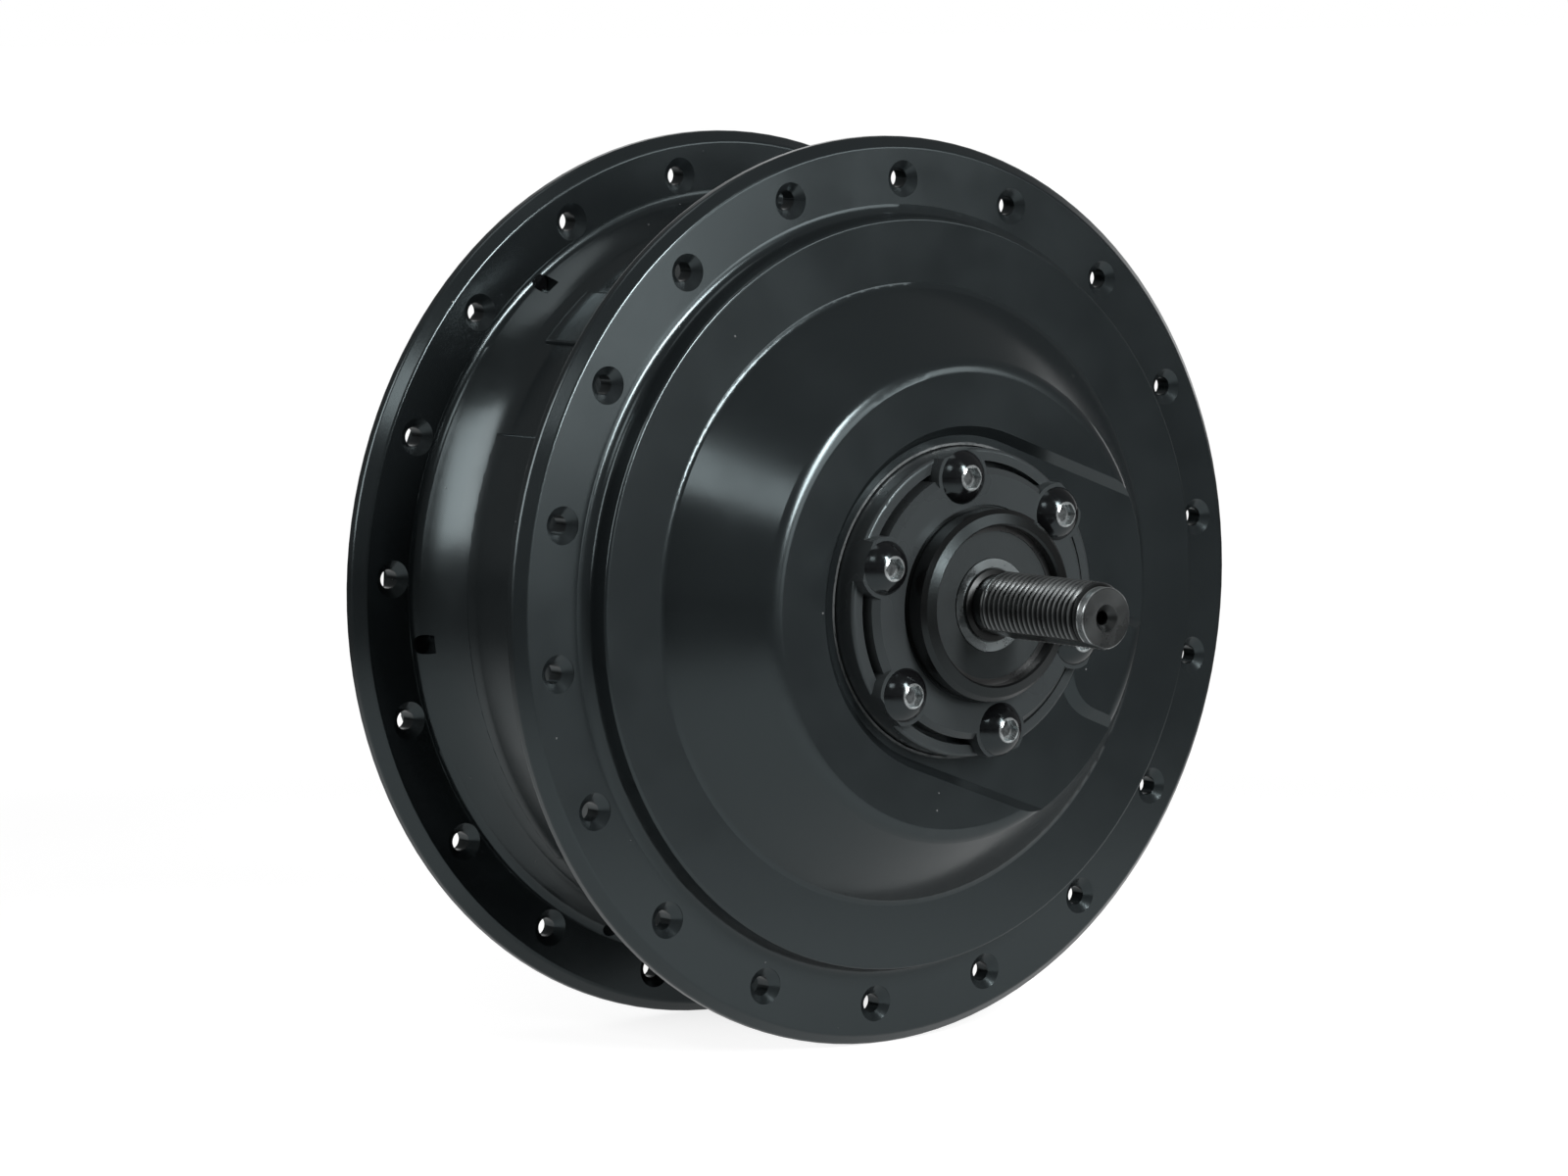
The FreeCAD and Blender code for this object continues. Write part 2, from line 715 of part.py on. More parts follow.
circlip_places = [
    (seat_radius, -gear_bearing_back, 1),
    (seat_radius, -carrier_face, -1),
    (seat_radius, -carrier_inner_face, 1),
]
large_circlip_place = (spider_seat_radius, disc_bearing_end, 1)


def key_block(seat, width, height, start, end):
    """A parallel key, half of it sunk in a shaft."""
    blank = block(seat - height / 2, seat + height / 2, start, end, -width / 2, width / 2)
    return turned(blank, key_angle)


def make_keys():
    """The spider's key and the clutch hub's key."""
    spider_key = key_block(spider_seat_radius, key_width, key_height,
                           spider_hub_start + key_margin, spider_hub_end - key_margin)
    clutch_key = key_block(seat_radius, clutch_key_width, clutch_key_height,
                           -carrier_face + clutch_key_margin, -carrier_inner_face - clutch_key_margin)
    return [spider_key, clutch_key]


def make_axle():
    """Stepped axle with threaded ends, one milled flat at each, keyways, grooves and the cable's bore."""
    end = axle_half_length
    chamfer = thread_end_chamfer
    relief_end = gear_bearing_face + seat_chamfer_axial + relief_gap
    shank_start = disc_bearing_end + shank_gap
    outline = [
        (0, -end),
        (thread_radius - chamfer, -end),
        (thread_radius, -end + chamfer),
        (thread_radius, -gear_side_thread_start),
        (relief_radius, -gear_side_thread_start + relief_slope),
        (relief_radius, -relief_end),
        (seat_radius - seat_chamfer_radial, -gear_bearing_face - seat_chamfer_axial),
        (seat_radius, -gear_bearing_face),
        (seat_radius, rotor_bearing_end),
        (spider_seat_radius, rotor_bearing_end),
        (spider_seat_radius, spider_hub_end),
        (collar_radius, spider_hub_end),
        (collar_radius, disc_bearing_start),
        (spider_seat_radius, disc_bearing_start),
        (spider_seat_radius, shank_start),
        (disc_side_shank_radius, shank_start + shank_step),
        (disc_side_shank_radius, disc_side_thread_start),
        (thread_radius, disc_side_thread_start),
        (thread_radius, end - chamfer),
        (thread_radius - chamfer, end),
        (0, end),
    ]
    axle = spun(outline)
    wire_exit_y = (spider_hub_end + disc_bearing_start) / 2
    beyond = thread_radius + tool_overrun
    flat = block(flat_distance, beyond, -end, -relief_end, -thread_radius, thread_radius)
    far_flat = block(flat_distance, beyond, disc_side_thread_start, end, -thread_radius, thread_radius)
    mouth_depth = centre_mouth_radius - centre_drill_radius
    tools = [
        turned(flat, flat_angle),
        turned(far_flat, flat_angle),
        taper(centre_mouth_radius, centre_drill_radius, -end, -end + mouth_depth),
        rod(centre_drill_radius, -end, -end + centre_drill_depth),
        rod(cable_bore_radius, wire_exit_y - wire_exit_radius, end),
        Part.makeCylinder(wire_exit_radius, collar_radius + tool_overrun, V(0, wire_exit_y, 0),
                          spot(1, 0, key_angle + 180)),
        circlip_groove(*large_circlip_place),
    ]
    tools += [circlip_groove(*place) for place in circlip_places]
    tools += make_keys()
    return axle.cut(tools)


def make_cable_gland():
    """Rubber grommet in the mouth of the axle's bore, with its hole left open."""
    return spun([(gland_hole_radius, axle_half_length - gland_length),
                 (cable_bore_radius, axle_half_length - gland_length),
                 (cable_bore_radius, axle_half_length, gland_round),
                 (gland_hole_radius, axle_half_length, gland_round)])


def bearing_parts(bore, outer_radius, width, ball_radius, ball_count, start):
    """Inner ring, outer ring, two seals and the caged balls of a ball bearing from start towards +Y."""
    end = start + width
    middle = (start + end) / 2
    pitch = (bore + outer_radius) / 2
    inner_shoulder = pitch - shoulder_share * ball_radius
    outer_shoulder = pitch + shoulder_share * ball_radius
    step = bearing_seal_inset + bearing_seal_thickness + running_gap
    face_radius = inner_shoulder - bearing_seal_step
    race = Part.makeTorus(pitch, ball_radius + ball_play, V(0, middle, 0), AXIS)
    inner = spun([
        (bore, start), (face_radius, start), (face_radius, start + step),
        (inner_shoulder, start + step), (inner_shoulder, end - step), (face_radius, end - step),
        (face_radius, end), (bore, end),
    ]).cut(race)
    rim_radius = outer_radius - bearing_rim
    outer = spun([
        (outer_radius, start), (rim_radius, start), (rim_radius, start + step),
        (outer_shoulder, start + step), (outer_shoulder, end - step), (rim_radius, end - step),
        (rim_radius, end), (outer_radius, end),
    ]).cut(race)
    seal_inner = face_radius + running_gap
    near_seal, far_seal = start + bearing_seal_inset, end - bearing_seal_inset
    seals = [ring(seal_inner, rim_radius, near_seal, near_seal + bearing_seal_thickness),
             ring(seal_inner, rim_radius, far_seal, far_seal - bearing_seal_thickness)]
    ball = Part.makeSphere(ball_radius, V(pitch, middle, 0))
    pocket = Part.makeCylinder(ball_radius + cage_play, ball_radius * 2, V(pitch - ball_radius, middle, 0),
                               V(1, 0, 0))
    cage_half = ball_radius + cage_rim
    cage_inner = pitch - cage_thickness / 2
    cage = ring(cage_inner, cage_inner + cage_thickness, middle - cage_half, middle + cage_half)
    cage = cage.cut(round_the_axle(pocket, ball_count))
    return inner, outer, seals, [cage] + round_the_axle(ball, ball_count)


def tooth_half_angle(radius, teeth, half_thickness):
    """Half of the angle that an involute tooth covers at a radius, in degrees."""
    pitch = gear_module * teeth / 2
    base = pitch * math.cos(math.radians(pressure_angle))

    def unwound(at):
        at = max(at, base)
        return math.sqrt((at / base) ** 2 - 1) - math.acos(base / at)

    return math.degrees(half_thickness / pitch + unwound(pitch) - unwound(radius))


def gear_prism(teeth, root, tip, half_thickness, start, end, phase):
    """A toothed prism along Y with straight flanks between points of the involute."""
    root_angle = tooth_half_angle(root, teeth, half_thickness)
    tip_angle = tooth_half_angle(tip, teeth, half_thickness)
    corners = []
    for tooth in range(teeth):
        middle = phase + 360.0 * tooth / teeth
        corners += [spot(root, start, middle - root_angle), spot(tip, start, middle - tip_angle),
                    spot(tip, start, middle + tip_angle), spot(root, start, middle + root_angle)]
    return Part.Face(Part.makePolygon(corners + corners[:1])).extrude(V(0, end - start, 0))


tooth_half_thickness = math.pi * gear_module / 4 - backlash / 2


def planet_tooth_phase(position):
    """Angle of a planet's tooth so that it meets the sun, whose first tooth points to angle 0."""
    sun_offset = -(position % (360.0 / sun_teeth))
    return position + 180.0 - sun_offset * sun_teeth / planet_teeth + 180.0 / planet_teeth


def ring_tooth_phase():
    """Angle of a space of the ring gear so that it takes the first planet's tooth."""
    planet_offset = (planet_tooth_phase(planet_phase) - planet_phase) % (360.0 / planet_teeth)
    return planet_phase + planet_offset * planet_teeth / ring_teeth


def make_sun_gear():
    """Sun gear with the shank that is pressed into the rotor's plate."""
    start = -planet_gear_start - sun_overhang
    end = -planet_gear_end + sun_shank_gap
    root, tip = sun_pitch - dedendum, sun_pitch + addendum
    teeth = gear_prism(sun_teeth, root, tip, tooth_half_thickness, start, end, 0)
    shank = rod(sun_shank_radius, end, rotor_bearing_start - sun_shank_inset)
    bore = rod(sun_bore_radius, start, rotor_bearing_start)
    return teeth.fuse(shank).cut(bore)


def make_planet_gear(position):
    """One planet, made on the axle and moved to its pin."""
    phase = planet_tooth_phase(position)
    gear = gear_prism(planet_teeth, planet_pitch - dedendum, planet_pitch + addendum, tooth_half_thickness,
                      -planet_gear_start, -planet_gear_end, phase)
    gear = gear.cut(rod(bush_radius, -planet_gear_start, -planet_gear_end))
    gear.translate(spot(planet_circle, 0, position))
    return gear


def make_planet_bush(position):
    """The plain bush pressed into a planet, running on its pin."""
    bush = ring(planet_pin_radius + bush_play, bush_radius, -planet_gear_start, -planet_gear_end)
    bush.translate(spot(planet_circle, 0, position))
    return bush


def make_ring_gear():
    """Internal ring gear with sunk holes for its six screws."""
    start, end = -end_wall_inner, -ring_gear_end
    blank = rod(ring_gear_outer_radius, start, end)
    space = gear_prism(ring_teeth, ring_pitch - addendum, ring_pitch + dedendum,
                       math.pi * gear_module / 4 + backlash / 2, start, end, ring_tooth_phase())
    hole = rod(m4_radius + clearance_hole_gap, start, end, ring_screw_circle, 0)
    sink = rod(ring_screw_head_radius + clearance_hole_gap, end, end - ring_screw_sink, ring_screw_circle, 0)
    holes = round_the_axle(hole.fuse(sink), screws_per_circle, ring_screw_phase)
    return blank.cut([space] + holes)


def planet_positions():
    """The angles of the planets round the axle."""
    return [planet_phase + 360.0 * step / planets for step in range(planets)]


def make_planet_carrier():
    """Round plate that holds the planets' pins and is the clutch's outer race."""
    start, end = -carrier_face, -carrier_inner_face
    plate = spun([(carrier_bore_radius, start), (carrier_radius, start, carrier_round),
                  (carrier_radius, end, carrier_round), (carrier_bore_radius, end)])
    holes = round_the_axle(rod(planet_pin_radius, start, end, planet_circle, 0), planets, planet_phase)
    return plate.cut(holes)


def make_planet_pins():
    """The planets' pins, each with a collar between the carrier and its planet."""
    end = -planet_gear_end + pin_clip_thickness + planet_pin_stub
    pin = rod(planet_pin_radius, -carrier_face, end, planet_circle, 0)
    collar_end = -planet_gear_start - planet_side_gap
    collar = rod(pin_collar_radius, -carrier_inner_face, collar_end, planet_circle, 0)
    return round_the_axle(pin.fuse(collar).removeSplitter(), planets, planet_phase)


def make_planet_clips():
    """A washer on each pin that keeps its planet on."""
    start = -planet_gear_end + planet_side_gap
    disc = rod(pin_collar_radius, start, start + pin_clip_thickness, planet_circle, 0)
    hole = rod(planet_pin_radius, start, start + pin_clip_thickness, planet_circle, 0)
    return round_the_axle(disc.cut(hole), planets, planet_phase)


def make_clutch_hub():
    """Inner cam of the one-way clutch, keyed to the axle, with a pocket for each roller."""
    start, end = -carrier_face, -carrier_inner_face
    hub = ring(seat_radius, clutch_hub_radius, start, end)
    pocket_floor = carrier_bore_radius - 2 * (roller_radius + roller_play)
    pocket = block(pocket_floor, clutch_hub_radius + tool_overrun, start, end,
                   -clutch_pocket_half_width, clutch_pocket_half_width)
    return hub.cut(round_the_axle(pocket, clutch_rollers) + make_keys()[1:])


def make_clutch_rollers():
    """The clutch's rollers, between the cam and the carrier's bore."""
    circle = carrier_bore_radius - roller_radius - roller_play
    start, end = -carrier_face + roller_end_gap, -carrier_inner_face - roller_end_gap
    roller = rod(roller_radius, start, end, circle, 0)
    return round_the_axle(roller, clutch_rollers)


def make_rotor_can():
    """Cup that carries the magnets outside and the rotor's bearings inside."""
    return spun([
        (sun_shank_radius, -rotor_plate_face),
        (rotor_radius, -rotor_plate_face, rotor_corner_round),
        (rotor_radius, rotor_rim_end, rotor_rim_round),
        (magnet_outer_radius, rotor_rim_end),
        (magnet_outer_radius, -rotor_plate_back),
        (rotor_hub_radius, -rotor_plate_back),
        (rotor_hub_radius, rotor_bearing_end),
        (rotor_bearing_outer_radius, rotor_bearing_end),
        (rotor_bearing_outer_radius, rotor_bearing_start),
        (sun_shank_radius, rotor_bearing_start),
    ])


def make_rotor_magnets():
    """Curved magnets round the inside of the rotor's wall."""
    step = 360.0 / magnet_count
    magnet = sector(magnet_inner_radius, magnet_outer_radius, core_start, core_end,
                    magnet_gap_angle / 2, step - magnet_gap_angle / 2)
    return round_the_axle(magnet, magnet_count)


def make_stator_core():
    """Laminated core: a yoke, its teeth and their tips."""
    yoke = ring(core_inner_radius, core_inner_radius + core_yoke, core_start, core_end)
    tips = ring(stator_radius - tooth_tip_thickness, stator_radius, core_start, core_end)
    tooth = block(core_inner_radius + core_yoke / 2, stator_radius - tooth_tip_thickness / 2,
                  core_start, core_end, -tooth_width / 2, tooth_width / 2)
    mouth = block(stator_radius - 2 * tooth_tip_thickness, stator_radius + tool_overrun, core_start, core_end,
                  -slot_mouth / 2, slot_mouth / 2)
    half_step = 180.0 / slot_count
    core = yoke.fuse([tips] + round_the_axle(tooth, slot_count)).removeSplitter()
    return core.cut(round_the_axle(mouth, slot_count, half_step))


def make_stator_windings():
    """A coil round each of the core's teeth."""
    inner_half = tooth_width / 2 + coil_gap
    outer_half = inner_half + coil_thickness
    end = stator_radius - tooth_tip_thickness - coil_gap - coil_tip_gap
    outside = block(coil_foot_radius, end, core_start - coil_overhang, coil_end, -outer_half, outer_half)
    corners = [edge for edge in outside.Edges if abs(edge.Vertexes[0].X - edge.Vertexes[1].X) > coil_gap]
    outside = outside.makeFillet(coil_round, corners)
    inside = block(coil_foot_radius, end, core_start - coil_gap, core_end + coil_gap,
                   -inner_half, inner_half)
    return round_the_axle(outside.cut(inside), slot_count)


def make_stator_spider():
    """Keyed hub, web and rim that carry the core on the axle."""
    web_end = spider_web_start + spider_web_thickness
    rim_inner = core_inner_radius - spider_rim_wall
    spider = spun([
        (spider_seat_radius, spider_hub_start),
        (spider_hub_radius, spider_hub_start),
        (spider_hub_radius, spider_web_start, spider_round),
        (rim_inner, spider_web_start, spider_round),
        (rim_inner, core_start + spider_rim_inset),
        (core_inner_radius, core_start + spider_rim_inset),
        (core_inner_radius, core_end - spider_rim_inset),
        (rim_inner, core_end - spider_rim_inset),
        (rim_inner, web_end, spider_round),
        (spider_hub_radius, web_end, spider_round),
        (spider_hub_radius, spider_hub_end),
        (spider_seat_radius, spider_hub_end),
    ])
    return spider.cut(make_keys()[0])


def make_hall_board():
    """Curved circuit board that lies on the ends of the coils."""
    return sector(board_inner_radius, board_outer_radius, coil_end, coil_end + board_thickness,
                  board_start_angle, board_start_angle + board_sweep)


def make_hall_sensors():
    """Position sensors on the board, spaced to the magnets."""
    start = coil_end + board_thickness
    outer = board_outer_radius - hall_inset
    chip = block(outer - hall_size, outer, start, start + hall_height, -hall_size / 2, hall_size / 2)
    middle = board_start_angle + board_sweep / 2
    first = middle - hall_step_angle * (hall_count - 1) / 2
    return [turned(chip, first + hall_step_angle * step) for step in range(hall_count)]


def make_cover_o_ring():
    """Rubber ring in the cover's spigot."""
    middle = flange_outer_face - cover_spigot_depth / 2
    circle = cavity_radius - o_ring_radius - seal_gap / 2
    return Part.makeTorus(circle, o_ring_radius, V(0, middle, 0), AXIS)


def make_shaft_seal():
    """Lip seal between the cover and the axle's disc-side shank."""
    end = disc_seal_start + seal_width
    lip = disc_side_shank_radius + seal_gap
    return spun([(lip + seal_lip_thickness, disc_seal_start), (seal_radius, disc_seal_start, seal_round),
                 (seal_radius, end, seal_round), (lip + seal_lip_opening, end), (lip, end - seal_lip_run),
                 (lip + seal_lip_thickness, end - seal_lip_run - seal_lip_back)])


def screw_ring(circle, phase, *sizes):
    """Button-head screws evenly spaced on a circle."""
    return [button_screw(*sizes, circle, phase + 360.0 * step / screws_per_circle)
            for step in range(screws_per_circle)]


gear_inner, gear_outer, gear_seals, gear_balls = bearing_parts(
    seat_radius, gear_bearing_outer_radius, gear_bearing_width, gear_bearing_ball_radius, gear_bearing_balls,
    -gear_bearing_face)
disc_inner, disc_outer, disc_seals, disc_balls = bearing_parts(
    spider_seat_radius, disc_bearing_outer_radius, disc_bearing_width, disc_bearing_ball_radius,
    disc_bearing_balls, disc_bearing_start)
rotor_sets = [bearing_parts(seat_radius, rotor_bearing_outer_radius, rotor_bearing_width,
                            rotor_bearing_ball_radius, rotor_bearing_balls,
                            rotor_bearing_start + step * rotor_bearing_width) for step in range(2)]

nodes = {
    "hub_shell": make_hub_shell(),
    "side_cover": make_side_cover(),
    "side_cover_screws": screw_ring(
        cover_screw_circle, cover_screw_phase, m4_radius, m4_head_radius, m4_head_height, m4_socket_flats,
        cover_screw_length, cover_face, 1),
    "cover_o_ring": make_cover_o_ring(),
    "shaft_seal": make_shaft_seal(),
    "bearing_adapter": make_bearing_adapter(),
    "adapter_screws": screw_ring(
        ear_circle_radius, ear_phase, m6_radius, m6_head_radius, m6_head_height, m6_socket_flats,
        m6_length, -adapter_top, -1),
    "gear_side_bearing_outer_ring": gear_outer,
    "gear_side_bearing_seals": gear_seals,
    "gear_side_bearing_balls": gear_balls,
    "gear_side_bearing_inner_ring": gear_inner,
    "disc_side_bearing_outer_ring": disc_outer,
    "disc_side_bearing_seals": disc_seals,
    "disc_side_bearing_balls": disc_balls,
    "disc_side_bearing_inner_ring": disc_inner,
    "ring_gear": make_ring_gear(),
    "ring_gear_screws": screw_ring(
        ring_screw_circle, ring_screw_phase, m4_radius, ring_screw_head_radius, m4_head_height,
        m4_socket_flats, ring_screw_length, -ring_gear_end - ring_screw_sink, 1),
    "sun_gear": make_sun_gear(),
    "planet_carrier": make_planet_carrier(),
    "planet_pins": make_planet_pins(),
    "planet_pin_washers": make_planet_clips(),
    "clutch_hub": make_clutch_hub(),
    "clutch_rollers": make_clutch_rollers(),
    "rotor_can": make_rotor_can(),
    "rotor_magnets": make_rotor_magnets(),
    "rotor_bearing_outer_rings": [parts[1] for parts in rotor_sets],
    "rotor_bearing_balls": [piece for parts in rotor_sets for piece in parts[3]],
    "rotor_bearing_inner_rings": [parts[0] for parts in rotor_sets],
    "stator_core": make_stator_core(),
    "stator_windings": make_stator_windings(),
    "stator_spider": make_stator_spider(),
    "hall_board": make_hall_board(),
    "hall_sensors": make_hall_sensors(),
    "axle": make_axle(),
    "axle_keys": make_keys(),
    "small_circlips": [circlip(*place) for place in circlip_places],
    "large_circlip": circlip(*large_circlip_place),
    "cable_gland": make_cable_gland(),
}
for number, position in enumerate(planet_positions(), start=1):
    nodes["planet_gear_%d" % number] = make_planet_gear(position)
    nodes["planet_bush_%d" % number] = make_planet_bush(position)

for name, piece in nodes.items():
    shape = Part.makeCompound(piece) if isinstance(piece, list) else piece
    shape.exportStep("parts/%s.step" % name)
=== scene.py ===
import bmesh
import bpy
import json
import math
from mathutils import Matrix, Vector


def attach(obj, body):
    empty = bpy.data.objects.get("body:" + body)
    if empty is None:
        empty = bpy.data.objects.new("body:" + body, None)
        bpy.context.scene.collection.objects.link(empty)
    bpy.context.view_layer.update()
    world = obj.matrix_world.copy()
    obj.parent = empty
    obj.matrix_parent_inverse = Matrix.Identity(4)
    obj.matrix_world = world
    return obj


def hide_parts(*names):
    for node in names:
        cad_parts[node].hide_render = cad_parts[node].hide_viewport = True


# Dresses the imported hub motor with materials, a threaded axle, studio lights and the photograph's camera.
# Lengths in the constants are in millimetres, like the CAD source, and go to metres with MM.
# The scales given to noise and specks are repeats per metre.
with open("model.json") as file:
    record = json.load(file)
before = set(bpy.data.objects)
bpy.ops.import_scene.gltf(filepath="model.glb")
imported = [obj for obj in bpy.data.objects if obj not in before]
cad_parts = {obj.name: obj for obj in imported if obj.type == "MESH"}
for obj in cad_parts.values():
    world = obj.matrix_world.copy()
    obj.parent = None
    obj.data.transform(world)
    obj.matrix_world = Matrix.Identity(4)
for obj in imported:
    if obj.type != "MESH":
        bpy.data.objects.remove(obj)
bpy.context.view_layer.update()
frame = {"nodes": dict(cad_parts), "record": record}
nodes = frame["nodes"]
MM = 0.001

# Axle, the same sizes as the solid, measured from the middle of the hub
axle_half_length = 98.3
flat_distance = 5.6
flat_angle = 108.0
relief_radius = 6.2
relief_end = 64.5
relief_foot = 67.4
seat_radius = 7.5
seat_face = 63.5
seat_chamfer_radius = 7.2
seat_chamfer_end = 64.1
body_radius = 10.0
body_start = 3.0
body_end = 45.0
stop_radius = 12.0
stop_start = 24.0
stop_end = 31.0
disc_side_radius = 9.5
disc_side_start = 45.5
centre_mouth_radius = 2.8
centre_drill_radius = 1.4
centre_drill_depth = 8.0
centre_drill_point = 0.5
cable_bore_radius = 4.0
cable_bore_floor = 25.0
closing_radius = 0.02

# Threads, cut in the scene's own axle
thread_radius = 7.0
thread_depth = 0.9
thread_pitch = 1.5
thread_end_chamfer = 1.2
thread_crest_share = 0.16
thread_flank_share = 0.68
thread_fade_pitches = 1.2
gear_side_thread_start = 68.0
disc_side_thread_start = 71.5
collar_length = 2.0
columns = 180
rows_per_pitch = 10
weld_gap = 0.0005
axle_sharp_angle = 28.0

# Colours of the axle: places and greys of the worn crests, of the painted shade in the roots and on the seat and
# relief, of the smooth end collar and of the end face
crest_low = 0.35
crest_high = 0.05
root_high = 0.4
wear_and_shade_fade = 1.0
collar_fade = 0.1
collar_inner_radius = 5.6
face_low = 0.2
face_high = 0.1
crest_grey = 0.15
# The next two greys are painted shade: in the thread roots, and on the seat and relief.
root_painted_shade_grey = 0.012
relief_painted_shade_grey = 0.02
collar_grey = 0.36
face_greys = (0.05, 0.10)

# Circle of the adapter's screws, and their key sockets, lighter as worn bare metal and as painted glints
ear_circle_radius = 26.0
ear_phase = 19.35
ear_angle = 60.0
socket_rim = (2.5, 2.8)
socket_floor = (1.5, 2.0)
socket_floor_share = 0.15
socket_raggedness = 0.3
socket_wear_and_glint_grey = 0.5

# Adapter pocket in the plateau, whose lip is bare and rough
pocket_radius = 31.3
pocket_lip_width = 0.6
pocket_lip_start = 0.05
pocket_lip_fades = (0.1, 0.3)
pocket_lip_raggedness = 0.6
pocket_lip_foot = (-51.5, -51.3)
pocket_lip_grey = 0.25

# Darker bearing boss of the adapter
bearing_boss_radius = 19.3
bearing_boss_fade = 0.4
bearing_boss_grey = 0.0045
bearing_boss_gloss = -0.06

# Soft sweep of the drum up to the disc-side flange, seen in its shine
sweep_start = 5.0
sweep_end = 24.0
sweep_rise = 3.4

# Dust and scratches on the black coats
dust_scale = 130.0
dust_size = 0.035
scratch_scale = 60.0
scratch_size = 0.02
scratch_stretch = (1.0, 0.35, 2.6)
scratch_part = 0.6
mark_strength = 0.4
mark_grey = 0.30
mark_depth = 0.04

# Cold tint of the black coats' shine, and of bare steel
coat_tint = (0.80, 0.96, 1.0, 1.0)
steel_tint = (0.94, 1.0, 1.01)

# Noises: scale, detail and roughness
coat_clouds = (45.0, 3.0, 0.55)
coat_peel = (1500.0, 2.0, 0.5)
pocket_lip_noise = (700.0, 3.0, 0.7)
oxide_clouds = (900.0, 3.0, 0.6)
oxide_ragged = (900.0, 2.0, 0.5)
oxide_grain = (1300.0, 2.0, 0.5)
turning_rings = (2600.0, 3.0, 0.6)
tarnish_clouds = (160.0, 4.0, 0.6)
casting_grain = (900.0, 4.0, 0.7)
rubber_mottle = (1100.0, 3.0, 0.6)
rubber_patches = (260.0, 3.0, 0.6)
plastic_grain = (800.0, 2.0, 0.5)

# Depths of the fine textures
oxide_grain_depth = 0.01
casting_grain_depth = 0.06
rubber_mottle_depth = 0.04
plastic_grain_depth = 0.02

# Heights between which a noise takes effect, and the change of roughness at each
cloud_heights = (0.3, 0.7)
coat_gloss = (-0.035, 0.035)
turned_gloss = (-0.05, 0.07)
oxide_gloss = (-0.04, 0.08)

# Patchy wear of the pocket's lip, patchy wear and painted glints of the key sockets, and how metallic the bare
# parts are
wear_heights = (0.35, 0.6)
pocket_lip_bareness = (0.25, 1.0)
pocket_lip_metal = 0.7
socket_wear_and_glint_patches = (0.4, 1.0)
socket_metal = 0.85

# Rubber: its shine, and how much lighter its patches are
rubber_roughness = 0.5
rubber_specular = 0.35
rubber_patch_light = 1.5

# Spacing and depth of the coils' wires and of the core's sheets
wire_spacing = 0.9
wire_depth = 0.18
sheet_spacing = 0.5
sheet_depth = 0.06

# Camera
camera_place = (-0.83804, -1.06752, 0.13046)
camera_azimuth = -38.035
camera_elevation = 5.546
camera_roll = -0.199
camera_lens = 151.55
camera_sensor = 36.0

# Lights: direction from the object, then distance, width and height in metres, and radiance
softboxes = {
    "left_softbox": ((-0.875, 0.256, 0.410), 1.3, 0.74, 0.77, 5.6),
    "upper_softbox": ((-0.70, -0.45, 0.60), 1.4, 0.36, 0.32, 4.4),
    "front_softbox": ((0.06, -0.90, 0.42), 1.5, 0.24, 0.80, 44.0),
    "fill_softbox": ((0.395, -0.908, 0.139), 1.5, 0.50, 0.53, 2.8),
    "right_softbox": ((0.56, -0.77, 0.29), 1.5, 0.46, 0.42, 3.0),
    "top_softbox": ((-0.20, 0.10, 1.0), 1.3, 0.6, 0.6, 1.2),
}

# World: a dim room, with a white backdrop behind the object, towards this direction
room_level = 0.125
backdrop_direction = (0.61, 0.79, 0.0)
backdrop_edge = (0.72, 0.92)

# Floor: distances from the object in metres, and what the floor shows there
floor_height = -92.6
floor_reach = 12.0
floor_colour_distances = (0.15, 0.45)
floor_colours = (0.4, 0.08)
floor_glow_distances = (0.15, 0.6)
floor_glows = (0.82, 1.0)
floor_mirror_distances = (0.12, 0.5)
floor_mirror_glows = (0.40, 0.0)


def linked(tree, socket, value):
    """Joins another node's output to a socket, or sets the socket where the value is plain."""
    if isinstance(value, bpy.types.NodeSocket):
        tree.links.new(value, socket)
    else:
        socket.default_value = value


def maths(tree, operation, first, second=0.5, third=0.5):
    """The result of one Math node."""
    node = tree.nodes.new("ShaderNodeMath")
    node.operation = operation
    linked(tree, node.inputs[0], first)
    linked(tree, node.inputs[1], second)
    linked(tree, node.inputs[2], third)
    return node.outputs[0]


def product(tree, first, *others):
    """Several values multiplied."""
    result = first
    for other in others:
        result = maths(tree, "MULTIPLY", result, other)
    return result


def ranged(tree, value, low, high, out_low=0.0, out_high=1.0):
    """A value's smooth step from one range to another."""
    node = tree.nodes.new("ShaderNodeMapRange")
    node.interpolation_type = "SMOOTHSTEP"
    linked(tree, node.inputs["Value"], value)
    node.inputs["From Min"].default_value = low
    node.inputs["From Max"].default_value = high
    node.inputs["To Min"].default_value = out_low
    node.inputs["To Max"].default_value = out_high
    return node.outputs["Result"]


def place(tree):
    """The point on the object, in metres."""
    return tree.nodes.new("ShaderNodeTexCoord").outputs["Object"]


def stretched(tree, vector, scale):
    """A point with its axes scaled."""
    node = tree.nodes.new("ShaderNodeMapping")
    node.inputs["Scale"].default_value = scale
    linked(tree, node.inputs["Vector"], vector)
    return node.outputs["Vector"]


def separated(tree, vector):
    """A point's three coordinates."""
    node = tree.nodes.new("ShaderNodeSeparateXYZ")
    linked(tree, node.inputs["Vector"], vector)
    return node.outputs["X"], node.outputs["Y"], node.outputs["Z"]


def noise(tree, vector, scale, detail, roughness):
    """A noise's height at a point."""
    node = tree.nodes.new("ShaderNodeTexNoise")
    node.inputs["Scale"].default_value = scale
    node.inputs["Detail"].default_value = detail
    node.inputs["Roughness"].default_value = roughness
    linked(tree, node.inputs["Vector"], vector)
    return node.outputs["Fac"]


